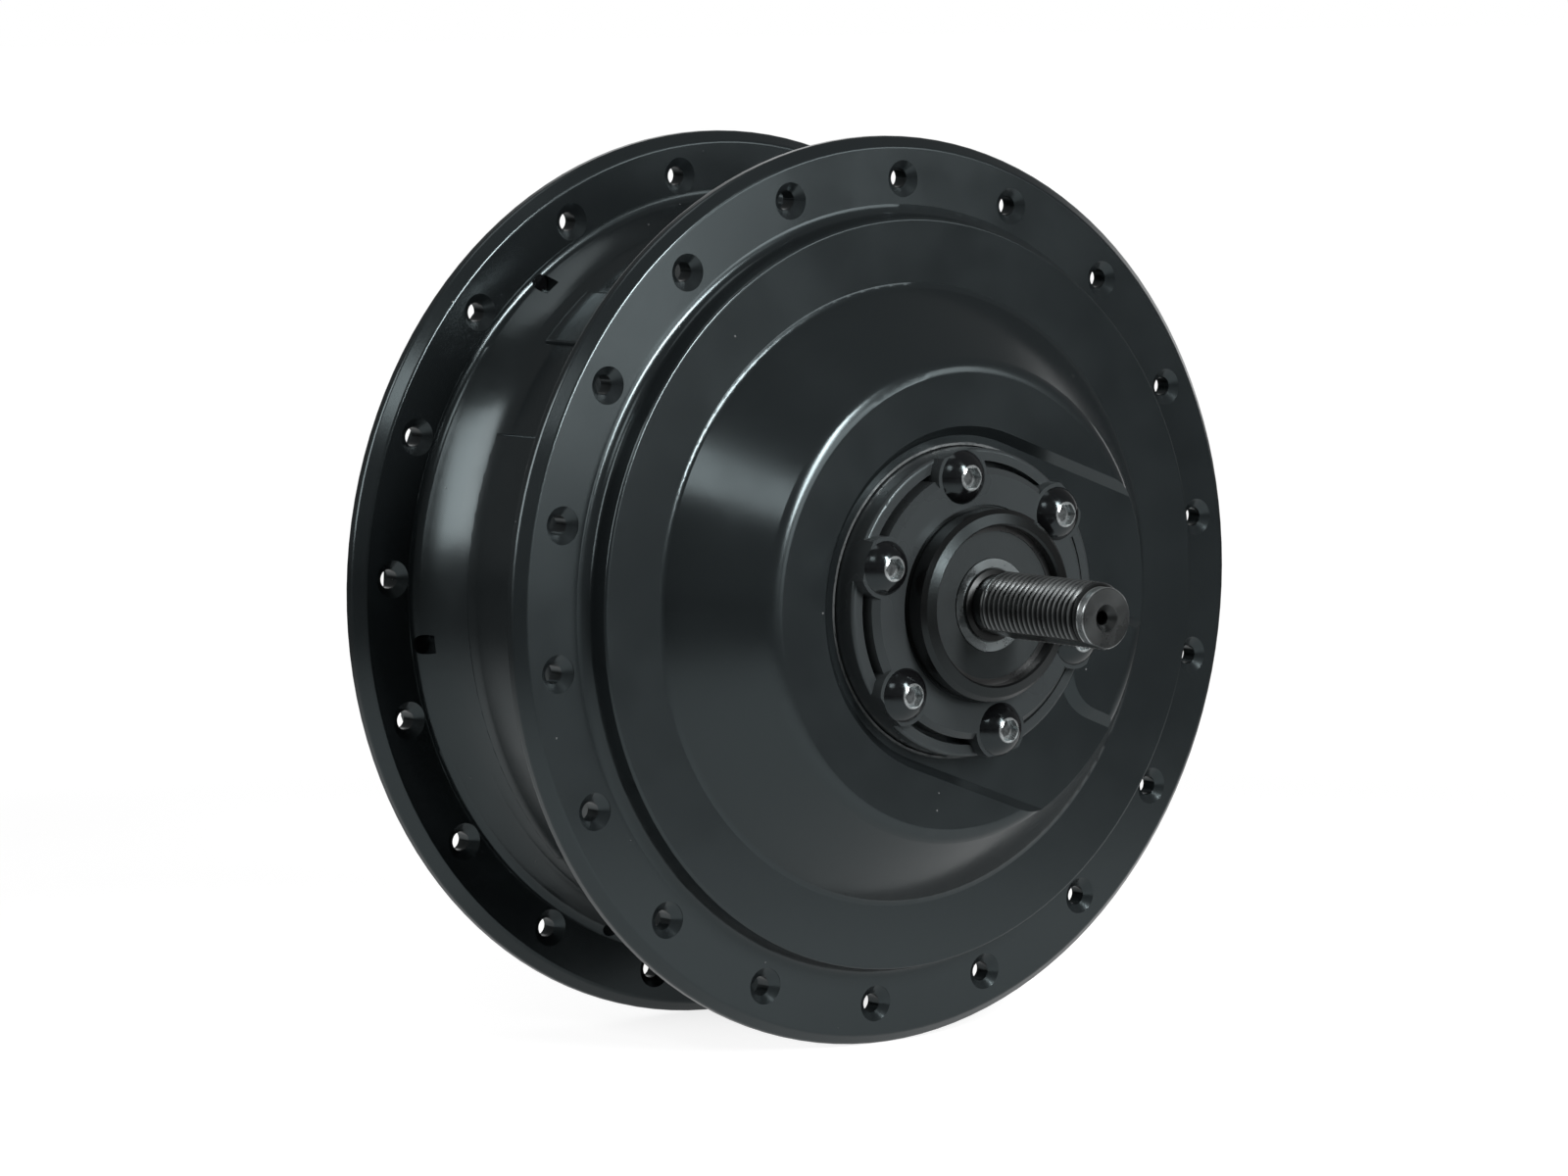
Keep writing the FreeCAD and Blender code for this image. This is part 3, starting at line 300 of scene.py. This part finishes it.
def specks(tree, vector, scale, size, share):
    """Small round spots in a share of a grid's cells."""
    node = tree.nodes.new("ShaderNodeTexVoronoi")
    node.inputs["Scale"].default_value = scale
    linked(tree, node.inputs["Vector"], vector)
    spot = ranged(tree, node.outputs["Distance"], size * 0.5, size, 1.0, 0.0)
    split = tree.nodes.new("ShaderNodeSeparateColor")
    linked(tree, split.inputs["Color"], node.outputs["Color"])
    chosen = maths(tree, "LESS_THAN", split.outputs["Red"], share)
    return product(tree, spot, chosen)


def blended(tree, share, first, second):
    """Two colours mixed by a share."""
    node = tree.nodes.new("ShaderNodeMix")
    node.data_type = "RGBA"
    linked(tree, node.inputs["Factor"], share)
    linked(tree, node.inputs["A"], first)
    linked(tree, node.inputs["B"], second)
    return node.outputs["Result"]


def bumped(tree, height, depth, normal=None):
    """A surface normal for a height from 0 to 1, with the depth of 1 in millimetres."""
    node = tree.nodes.new("ShaderNodeBump")
    node.inputs["Strength"].default_value = 1.0
    node.inputs["Distance"].default_value = depth * MM
    linked(tree, node.inputs["Height"], height)
    if normal is not None:
        linked(tree, node.inputs["Normal"], normal)
    return node.outputs["Normal"]


def distance_from(tree, first, second):
    """Length of two coordinates at right angles."""
    square = maths(tree, "MULTIPLY", first, first)
    return maths(tree, "SQRT", maths(tree, "MULTIPLY_ADD", second, second, square))


def axis_radius(tree, vector):
    """Distance from the axle, and place along it, in metres."""
    x, y, z = separated(tree, vector)
    return distance_from(tree, x, z), y


def grey(level):
    """A neutral colour."""
    return (level, level, level, 1.0)


def cool(level):
    """The cool grey of bare steel under the studio's light."""
    return tuple(level * channel for channel in steel_tint) + (1.0,)


def scaled_colour(colour, factor):
    """A colour made darker or lighter."""
    return tuple(channel * factor for channel in colour[:3]) + (1.0,)


def material(name, colour, roughness, metallic=0.0, specular=0.5):
    """A material with its shader's plain values set, ready for more nodes."""
    made = bpy.data.materials.new(name)
    made.use_nodes = True
    shader = made.node_tree.nodes["Principled BSDF"]
    shader.inputs["Base Color"].default_value = colour
    shader.inputs["Roughness"].default_value = roughness
    shader.inputs["Metallic"].default_value = metallic
    shader.inputs["Specular IOR Level"].default_value = specular
    made.diffuse_color = colour
    return made, made.node_tree, shader


def turning_marks(tree, point):
    """Fine rings round the axle, as a lathe leaves them."""
    radius, along = axis_radius(tree, point)
    join = tree.nodes.new("ShaderNodeCombineXYZ")
    linked(tree, join.inputs["X"], radius)
    linked(tree, join.inputs["Y"], along)
    return noise(tree, join.outputs["Vector"], *turning_rings)


def clouded(tree, clouds, roughness, changes):
    """A roughness that varies with a noise's clouds."""
    low, high = changes
    return ranged(tree, clouds, *cloud_heights, roughness + low, roughness + high)


def coat_marks(tree, point, dust_share):
    """Dust and small scratches on a black coat."""
    dust = specks(tree, point, dust_scale, dust_size, dust_share)
    scratch_point = stretched(tree, point, scratch_stretch)
    scratches = specks(tree, scratch_point, scratch_scale, scratch_size, dust_share * scratch_part)
    return product(tree, maths(tree, "MAXIMUM", dust, scratches), mark_strength)


def pocket_wear(tree, point, radius, along):
    """Where the lip of the adapter's pocket is bare."""
    inner = (pocket_radius - pocket_lip_start) * MM
    outer = (pocket_radius + pocket_lip_width) * MM
    inner_fade, outer_fade = pocket_lip_fades
    foot_low, foot_high = pocket_lip_foot
    ragged = noise(tree, point, *pocket_lip_noise)
    edge = maths(tree, "MULTIPLY_ADD", ragged, pocket_lip_raggedness * MM, radius)
    near = ranged(tree, edge, outer, outer + outer_fade * MM, 1.0, 0.0)
    beyond = ranged(tree, edge, inner, inner + inner_fade * MM)
    high = ranged(tree, along, foot_low * MM, foot_high * MM, 1.0, 0.0)
    patches = ranged(tree, ragged, *wear_heights, *pocket_lip_bareness)
    return product(tree, near, beyond, high, patches)


def paint(name, colour, roughness, specular, peel_depth, dust_share, shell=False, adapter=False):
    """Black coat with a fine peel, cloudy sheen, dust and small scratches.

    The shell's coat adds the pocket's bare lip and the drum's sweep, and the adapter's its dark bearing boss.
    """
    made, tree, shader = material(name, colour, roughness, 0.0, specular)
    shader.inputs["Specular Tint"].default_value = coat_tint
    point = place(tree)
    radius, along = axis_radius(tree, point)
    sheen = clouded(tree, noise(tree, point, *coat_clouds), roughness, coat_gloss)
    marks = coat_marks(tree, point, dust_share)
    base = blended(tree, marks, colour, grey(mark_grey))
    normal = bumped(tree, noise(tree, point, *coat_peel), peel_depth)
    if shell:
        worn = pocket_wear(tree, point, radius, along)
        base = blended(tree, worn, base, cool(pocket_lip_grey))
        linked(tree, shader.inputs["Metallic"], product(tree, worn, pocket_lip_metal))
        sweep = ranged(tree, along, sweep_start * MM, sweep_end * MM)
        normal = bumped(tree, sweep, sweep_rise, normal)
    if adapter:
        boss_edge = (bearing_boss_radius + bearing_boss_fade) * MM
        dark = ranged(tree, radius, bearing_boss_radius * MM, boss_edge, 1.0, 0.0)
        base = blended(tree, dark, base, grey(bearing_boss_grey))
        sheen = maths(tree, "MULTIPLY_ADD", dark, bearing_boss_gloss, sheen)
    linked(tree, shader.inputs["Base Color"], base)
    linked(tree, shader.inputs["Roughness"], sheen)
    linked(tree, shader.inputs["Normal"], bumped(tree, marks, mark_depth, normal))
    return made


def thread_wear_and_shade(tree, point, clouds, base):
    """Worn crests over roots darkened with painted shade, a bright collar at the axle's end, a darker end face,
    and painted shade on the seat and relief.
    """
    radius, along = axis_radius(tree, point)
    away = maths(tree, "ABSOLUTE", along)
    collar_start = axle_half_length - collar_length
    crest = ranged(tree, radius, (thread_radius - crest_low) * MM, (thread_radius - crest_high) * MM)
    root_low = (thread_radius - thread_depth) * MM
    # Painted shade: the thread roots get a darker grey, standing for the shade between the flanks.
    root_shade = ranged(tree, radius, root_low, (thread_radius - root_high) * MM, 1.0, 0.0)
    threaded = ranged(tree, away, gear_side_thread_start * MM, (gear_side_thread_start + wear_and_shade_fade) * MM)
    collar = ranged(tree, away, (collar_start - collar_fade) * MM, collar_start * MM)
    threaded = maths(tree, "SUBTRACT", threaded, collar)
    skin = ranged(tree, radius, centre_mouth_radius * MM, collar_inner_radius * MM)
    face = ranged(tree, away, (axle_half_length - face_low) * MM, (axle_half_length - face_high) * MM)
    # Painted shade: the seat and relief, nearer the middle than the gear-side threads, are darkened, standing for
    # the shade in the bearing's bore.
    relief_low = (gear_side_thread_start - wear_and_shade_fade) * MM
    relief_shade = ranged(tree, away, relief_low, gear_side_thread_start * MM, 1.0, 0.0)
    face_dark, face_light = face_greys
    face_colour = blended(tree, clouds, cool(face_dark), cool(face_light))
    base = blended(tree, product(tree, root_shade, threaded), base, cool(root_painted_shade_grey))
    base = blended(tree, product(tree, crest, threaded), base, cool(crest_grey))
    base = blended(tree, product(tree, collar, skin), base, cool(collar_grey))
    base = blended(tree, face, base, face_colour)
    return blended(tree, relief_shade, base, cool(relief_painted_shade_grey))


def turned_metal(
    name, colour, roughness, turning_depth, metallic=1.0, specular=0.5, tarnish=0.25, threads=False,
):
    """Metal with turning marks, a cloudy tarnish and, where asked, worn threads with painted shade in their roots
    and on the seat and relief beside them.
    """
    made, tree, shader = material(name, colour, roughness, metallic, specular)
    point = place(tree)
    rings = turning_marks(tree, point)
    clouds = noise(tree, point, *tarnish_clouds)
    base = blended(tree, clouds, scaled_colour(colour, 1.0 - tarnish), colour)
    if threads:
        base = thread_wear_and_shade(tree, point, clouds, base)
    linked(tree, shader.inputs["Base Color"], base)
    linked(tree, shader.inputs["Roughness"], clouded(tree, clouds, roughness, turned_gloss))
    linked(tree, shader.inputs["Normal"], bumped(tree, rings, turning_depth))
    return made


def cast_metal(name, colour, roughness):
    """Cast metal with a grainy skin."""
    made, tree, shader = material(name, colour, roughness, 1.0)
    grain = noise(tree, place(tree), *casting_grain)
    linked(tree, shader.inputs["Normal"], bumped(tree, grain, casting_grain_depth))
    return made


def rubber(name, colour):
    """Moulded rubber with faint mottling and lighter patches."""
    made, tree, shader = material(name, colour, rubber_roughness, 0.0, rubber_specular)
    shader.inputs["Specular Tint"].default_value = coat_tint
    point = place(tree)
    mottle = noise(tree, point, *rubber_mottle)
    patches = noise(tree, point, *rubber_patches)
    lighter = scaled_colour(colour, rubber_patch_light)
    linked(tree, shader.inputs["Base Color"], blended(tree, patches, colour, lighter))
    linked(tree, shader.inputs["Normal"], bumped(tree, mottle, rubber_mottle_depth))
    return made


def plastic(name, colour, roughness):
    """Moulded plastic with a slight grain."""
    made, tree, shader = material(name, colour, roughness)
    grain = noise(tree, place(tree), *plastic_grain)
    linked(tree, shader.inputs["Normal"], bumped(tree, grain, plastic_grain_depth))
    return made


def ribbed_metal(name, colour, roughness, metallic, spacing, depth, round_axle):
    """Metal with even ribs: wires laid round the axle, or sheets stacked along it."""
    made, tree, shader = material(name, colour, roughness, metallic)
    radius, along = axis_radius(tree, place(tree))
    across = radius if round_axle else along
    ribs = maths(tree, "SINE", product(tree, across, math.tau / (spacing * MM)))
    linked(tree, shader.inputs["Normal"], bumped(tree, ribs, depth))
    return made


def screw_distance(tree, point):
    """Distance from the nearest of the adapter's screws, across the axle, in metres."""
    x, y, z = separated(tree, point)
    radius = distance_from(tree, x, z)
    angle = maths(tree, "ARCTAN2", maths(tree, "MULTIPLY", z, -1.0), x)
    angle = maths(tree, "SUBTRACT", angle, math.radians(ear_phase - ear_angle / 2))
    angle = maths(tree, "FLOORED_MODULO", angle, math.radians(ear_angle))
    angle = maths(tree, "SUBTRACT", angle, math.radians(ear_angle / 2))
    sideways = product(tree, radius, maths(tree, "SINE", angle))
    outwards = product(tree, radius, maths(tree, "COSINE", angle))
    outwards = maths(tree, "SUBTRACT", outwards, ear_circle_radius * MM)
    return distance_from(tree, sideways, outwards)


def black_oxide(name, colour, roughness):
    """Glossy blackened steel for the screws, bright in the sockets as key wear and as painted glints."""
    made, tree, shader = material(name, colour, roughness)
    shader.inputs["Specular Tint"].default_value = coat_tint
    point = place(tree)
    rim_low, rim_high = socket_rim
    floor_low, floor_high = socket_floor
    clouds = noise(tree, point, *oxide_clouds)
    ragged = noise(tree, point, *oxide_ragged)
    reach = maths(tree, "MULTIPLY_ADD", ragged, socket_raggedness * MM, screw_distance(tree, point))
    rim = ranged(tree, reach, rim_low * MM, rim_high * MM, 1.0, 0.0)
    wall = ranged(tree, reach, floor_low * MM, floor_high * MM, socket_floor_share, 1.0)
    patches = ranged(tree, clouds, *wear_heights, *socket_wear_and_glint_patches)
    # The sockets' light grey is partly key wear and partly painted glint on their walls and rims.
    worn = product(tree, rim, wall, patches)
    linked(tree, shader.inputs["Base Color"], blended(tree, worn, colour, cool(socket_wear_and_glint_grey)))
    linked(tree, shader.inputs["Metallic"], product(tree, worn, socket_metal))
    linked(tree, shader.inputs["Roughness"], clouded(tree, clouds, roughness, oxide_gloss))
    linked(tree, shader.inputs["Normal"], bumped(tree, noise(tree, point, *oxide_grain), oxide_grain_depth))
    return made


finishes = {}


def finish(make, name, colour, **settings):
    """Makes a material and keeps it under its name."""
    finishes[name] = make(name, colour, **settings)


finish(
    paint, "shell_paint", (0.0085, 0.0104, 0.0112, 1.0), roughness=0.21, specular=0.55,
    peel_depth=0.004, dust_share=0.5, shell=True,
)
finish(
    paint, "adapter_coat", (0.027, 0.0305, 0.0318, 1.0), roughness=0.28, specular=0.35,
    peel_depth=0.006, dust_share=0.3, adapter=True,
)
finish(black_oxide, "black_oxide", (0.004, 0.004, 0.0045, 1.0), roughness=0.14)
finish(
    turned_metal, "axle_steel", (0.052, 0.056, 0.0565, 1.0), roughness=0.3, turning_depth=0.006,
    metallic=0.9, tarnish=0.45, threads=True,
)
finish(turned_metal, "bearing_steel", (0.36, 0.40, 0.41, 1.0), roughness=0.26, turning_depth=0.004)
finish(
    turned_metal, "ring_steel", (0.012, 0.013, 0.0135, 1.0), roughness=0.3, turning_depth=0.004,
    metallic=0.0, specular=0.6,
)
finish(turned_metal, "spring_steel", (0.09, 0.09, 0.09, 1.0), roughness=0.35, turning_depth=0.004)
finish(rubber, "seal_rubber", (0.013, 0.014, 0.0143, 1.0))
finish(turned_metal, "gear_steel", (0.21, 0.21, 0.20, 1.0), roughness=0.3, turning_depth=0.008)
finish(turned_metal, "carrier_steel", (0.16, 0.16, 0.16, 1.0), roughness=0.35, turning_depth=0.01)
finish(plastic, "nylon", (0.71, 0.67, 0.57, 1.0), roughness=0.45)
finish(turned_metal, "bronze", (0.34, 0.17, 0.052, 1.0), roughness=0.3, turning_depth=0.006)
finish(cast_metal, "magnet", (0.34, 0.34, 0.32, 1.0), roughness=0.3)
finish(
    ribbed_metal, "lamination", (0.11, 0.12, 0.135, 1.0), roughness=0.4, metallic=0.9,
    spacing=sheet_spacing, depth=sheet_depth, round_axle=False,
)
finish(
    ribbed_metal, "copper", (0.48, 0.107, 0.024, 1.0), roughness=0.3, metallic=0.85,
    spacing=wire_spacing, depth=wire_depth, round_axle=True,
)
finish(cast_metal, "cast_aluminium", (0.32, 0.32, 0.32, 1.0), roughness=0.42)
finish(plastic, "circuit_board", (0.004, 0.051, 0.014, 1.0), roughness=0.3)
finish(plastic, "chip_black", (0.004, 0.004, 0.004, 1.0), roughness=0.45)
slot_of = {part["node"]: part["material_slot"] for part in frame["record"]["subparts"]}
for name, piece in nodes.items():
    piece.data.materials.clear()
    piece.data.materials.append(finishes[slot_of[name]])


def thread_height(y, turn, start):
    """Radius of a 60 degree thread at a place along the axle and a share of a turn, shallow at its start."""
    phase = (y / thread_pitch - turn) % 1.0
    ramp = abs(phase - 0.5) * 2.0
    share = min(max((ramp - thread_crest_share) / thread_flank_share, 0.0), 1.0)
    fade = min(abs(y - start) / (thread_pitch * thread_fade_pitches), 1.0)
    return thread_radius - thread_depth * share * fade


def end_limit(y):
    """Radius of the axle's chamfered end and smooth collar, and of the first thread's run-in after them."""
    inset = axle_half_length - abs(y)
    collar = min(thread_radius - thread_end_chamfer + inset, thread_radius - thread_depth)
    return collar + max(inset - collar_length, 0.0)


def flat_limit(radius, turn):
    """The radius, held back by the milled flat."""
    away = math.cos(math.tau * turn - math.radians(flat_angle))
    if away <= 0.0:
        return radius
    return min(radius, flat_distance / away)


def plain_ring(y, radius, flat=False):
    """One ring of the axle as (y, radius) for each column, with the flat where asked."""
    turns = [column / columns for column in range(columns + 1)]
    return [(y, flat_limit(radius, turn) if flat else radius) for turn in turns]


def thread_rings(first, last, start):
    """Rings that wind along a thread between two places, which fades out towards its start."""
    rings = []
    steps = int(abs(last - first) / thread_pitch * rows_per_pitch) + 1
    for step in range(-rows_per_pitch, steps + 1):
        ring = []
        for column in range(columns + 1):
            turn = column / columns
            y = first + (step / rows_per_pitch + turn) * thread_pitch
            y = min(max(y, first), last)
            radius = min(thread_height(y, turn, start), end_limit(y))
            ring.append((y, flat_limit(radius, turn)))
        rings.append(ring)
    return rings


def axle_rings():
    """Rings of the axle from its gear-side centre hole to the floor of the disc side's cable bore."""
    half = axle_half_length
    drill_floor = -half + centre_drill_depth
    rings = [
        plain_ring(drill_floor, closing_radius),
        plain_ring(drill_floor - centre_drill_point, centre_drill_radius),
        plain_ring(-half + centre_mouth_radius - centre_drill_radius, centre_drill_radius),
        plain_ring(-half, centre_mouth_radius),
    ]
    rings += thread_rings(-half, -gear_side_thread_start, -gear_side_thread_start)
    rings += [
        plain_ring(-relief_foot, relief_radius, True),
        plain_ring(-relief_end, relief_radius, True),
        plain_ring(-relief_end, relief_radius),
        plain_ring(-seat_chamfer_end, seat_chamfer_radius),
        plain_ring(-seat_face, seat_radius),
        plain_ring(body_start, seat_radius),
        plain_ring(body_start, body_radius),
        plain_ring(stop_start, body_radius),
        plain_ring(stop_start, stop_radius),
        plain_ring(stop_end, stop_radius),
        plain_ring(stop_end, body_radius),
        plain_ring(body_end, body_radius),
        plain_ring(disc_side_start, disc_side_radius),
        plain_ring(disc_side_thread_start, disc_side_radius),
    ]
    rings += thread_rings(disc_side_thread_start, half, disc_side_thread_start)
    rings += [
        plain_ring(half, cable_bore_radius),
        plain_ring(cable_bore_floor, cable_bore_radius),
        plain_ring(cable_bore_floor, closing_radius),
    ]
    return rings


def threaded_axle():
    """The axle with cut threads, its flats, steps, centre hole and cable bore."""
    rings = axle_rings()
    corners = []
    for ring in rings:
        for column, (y, radius) in enumerate(ring):
            turn = math.tau * column / columns
            corners.append((radius * math.cos(turn) * MM, y * MM, -radius * math.sin(turn) * MM))
    width = columns + 1
    faces = []
    for row in range(len(rings) - 1):
        for column in range(columns):
            first = row * width + column
            faces.append((first, first + 1, first + width + 1, first + width))
    mesh = bpy.data.meshes.new("axle_threaded")
    mesh.from_pydata(corners, [], faces)
    mesh.validate()
    made = bpy.data.objects.new("axle_threaded", mesh)
    bpy.context.scene.collection.objects.link(made)
    return made


def weld(piece, gap, sharp_angle):
    """Joins a new mesh's equal points, drops its empty faces and shades it smooth between sharp edges."""
    work = bmesh.new()
    work.from_mesh(piece.data)
    bmesh.ops.remove_doubles(work, verts=work.verts, dist=gap)
    bmesh.ops.dissolve_degenerate(work, edges=work.edges, dist=gap)
    bmesh.ops.recalc_face_normals(work, faces=work.faces)
    work.to_mesh(piece.data)
    work.free()
    piece.data.shade_smooth()
    piece.data.set_sharp_from_angle(angle=math.radians(sharp_angle))


axle = threaded_axle()
weld(axle, weld_gap * MM, axle_sharp_angle)
axle.data.materials.append(finishes["axle_steel"])
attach(axle, "axle_assembly")
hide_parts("axle")


def softbox(name, direction, distance, width, height, radiance):
    """A rectangular lamp that faces the object, with its power worked out from its radiance."""
    lamp = bpy.data.lights.new(name, "AREA")
    lamp.shape = "RECTANGLE"
    lamp.size = width
    lamp.size_y = height
    lamp.energy = radiance * math.pi * width * height
    holder = bpy.data.objects.new(name, lamp)
    towards = Vector(direction).normalized()
    holder.location = towards * distance
    holder.rotation_euler = towards.to_track_quat("Z", "Y").to_euler()
    bpy.context.scene.collection.objects.link(holder)


for name, settings in softboxes.items():
    softbox(name, *settings)


def ray_kinds(tree):
    """Whether a ray comes from the camera, and whether it is a glossy or transmitted one."""
    path = tree.nodes.new("ShaderNodeLightPath")
    mirrored = maths(tree, "MAXIMUM", path.outputs["Is Glossy Ray"], path.outputs["Is Transmission Ray"])
    return path.outputs["Is Camera Ray"], mirrored


def studio_world():
    """White behind the object for the camera, glossy and transmitted rays, and a dim room for the rest."""
    world = bpy.data.worlds.new("studio")
    bpy.context.scene.world = world
    world.use_nodes = True
    tree = world.node_tree
    background = tree.nodes["Background"]
    direction = tree.nodes.new("ShaderNodeTexCoord").outputs["Generated"]
    towards = tree.nodes.new("ShaderNodeVectorMath")
    towards.operation = "DOT_PRODUCT"
    linked(tree, towards.inputs[0], direction)
    towards.inputs[1].default_value = backdrop_direction
    backdrop = ranged(tree, towards.outputs["Value"], *backdrop_edge)
    seen, mirrored = ray_kinds(tree)
    white = maths(tree, "MAXIMUM", seen, product(tree, mirrored, backdrop))
    linked(tree, background.inputs["Color"], blended(tree, white, grey(room_level), grey(1.0)))
    background.inputs["Strength"].default_value = 1.0


def studio_floor():
    """A pale floor under the flanges that goes white for the camera and keeps the object's shadow."""
    height = floor_height * MM
    reach = floor_reach
    mesh = bpy.data.meshes.new("studio_floor")
    corners = [(-reach, -reach, height), (reach, -reach, height), (reach, reach, height), (-reach, reach, height)]
    mesh.from_pydata(corners, [], [(0, 1, 2, 3)])
    floor = bpy.data.objects.new("studio_floor", mesh)
    bpy.context.scene.collection.objects.link(floor)
    made, tree, shader = material("studio_floor", grey(1.0), 1.0, 0.0, 0.0)
    shader.inputs["Emission Color"].default_value = grey(1.0)
    x, y, z = separated(tree, place(tree))
    away = distance_from(tree, x, y)
    linked(tree, shader.inputs["Base Color"], ranged(tree, away, *floor_colour_distances, *floor_colours))
    seen, mirrored = ray_kinds(tree)
    seen = product(tree, seen, ranged(tree, away, *floor_glow_distances, *floor_glows))
    mirrored = product(tree, mirrored, ranged(tree, away, *floor_mirror_distances, *floor_mirror_glows))
    linked(tree, shader.inputs["Emission Strength"], maths(tree, "MAXIMUM", seen, mirrored))
    mesh.materials.append(made)


def studio_camera():
    """The camera that was fitted to the photograph."""
    azimuth = math.radians(camera_azimuth)
    elevation = math.radians(camera_elevation)
    roll = math.radians(camera_roll)
    level_share = math.cos(elevation)
    forward = Vector((-math.sin(azimuth) * level_share, math.cos(azimuth) * level_share, -math.sin(elevation)))
    level = Vector((math.cos(azimuth), math.sin(azimuth), 0.0))
    upright = level.cross(forward)
    right = math.cos(roll) * level + math.sin(roll) * upright
    up = right.cross(forward)
    lens = bpy.data.cameras.new("photo_camera")
    lens.lens = camera_lens
    lens.sensor_width = camera_sensor
    lens.sensor_fit = "HORIZONTAL"
    lens.clip_start = 0.01
    lens.clip_end = 100.0
    holder = bpy.data.objects.new("photo_camera", lens)
    turn = Matrix((right, up, -forward)).transposed().to_4x4()
    holder.matrix_world = Matrix.Translation(Vector(camera_place)) @ turn
    bpy.context.scene.collection.objects.link(holder)
    bpy.context.scene.camera = holder


studio_world()
studio_floor()
studio_camera()
bpy.context.scene.view_settings.view_transform = "Standard"
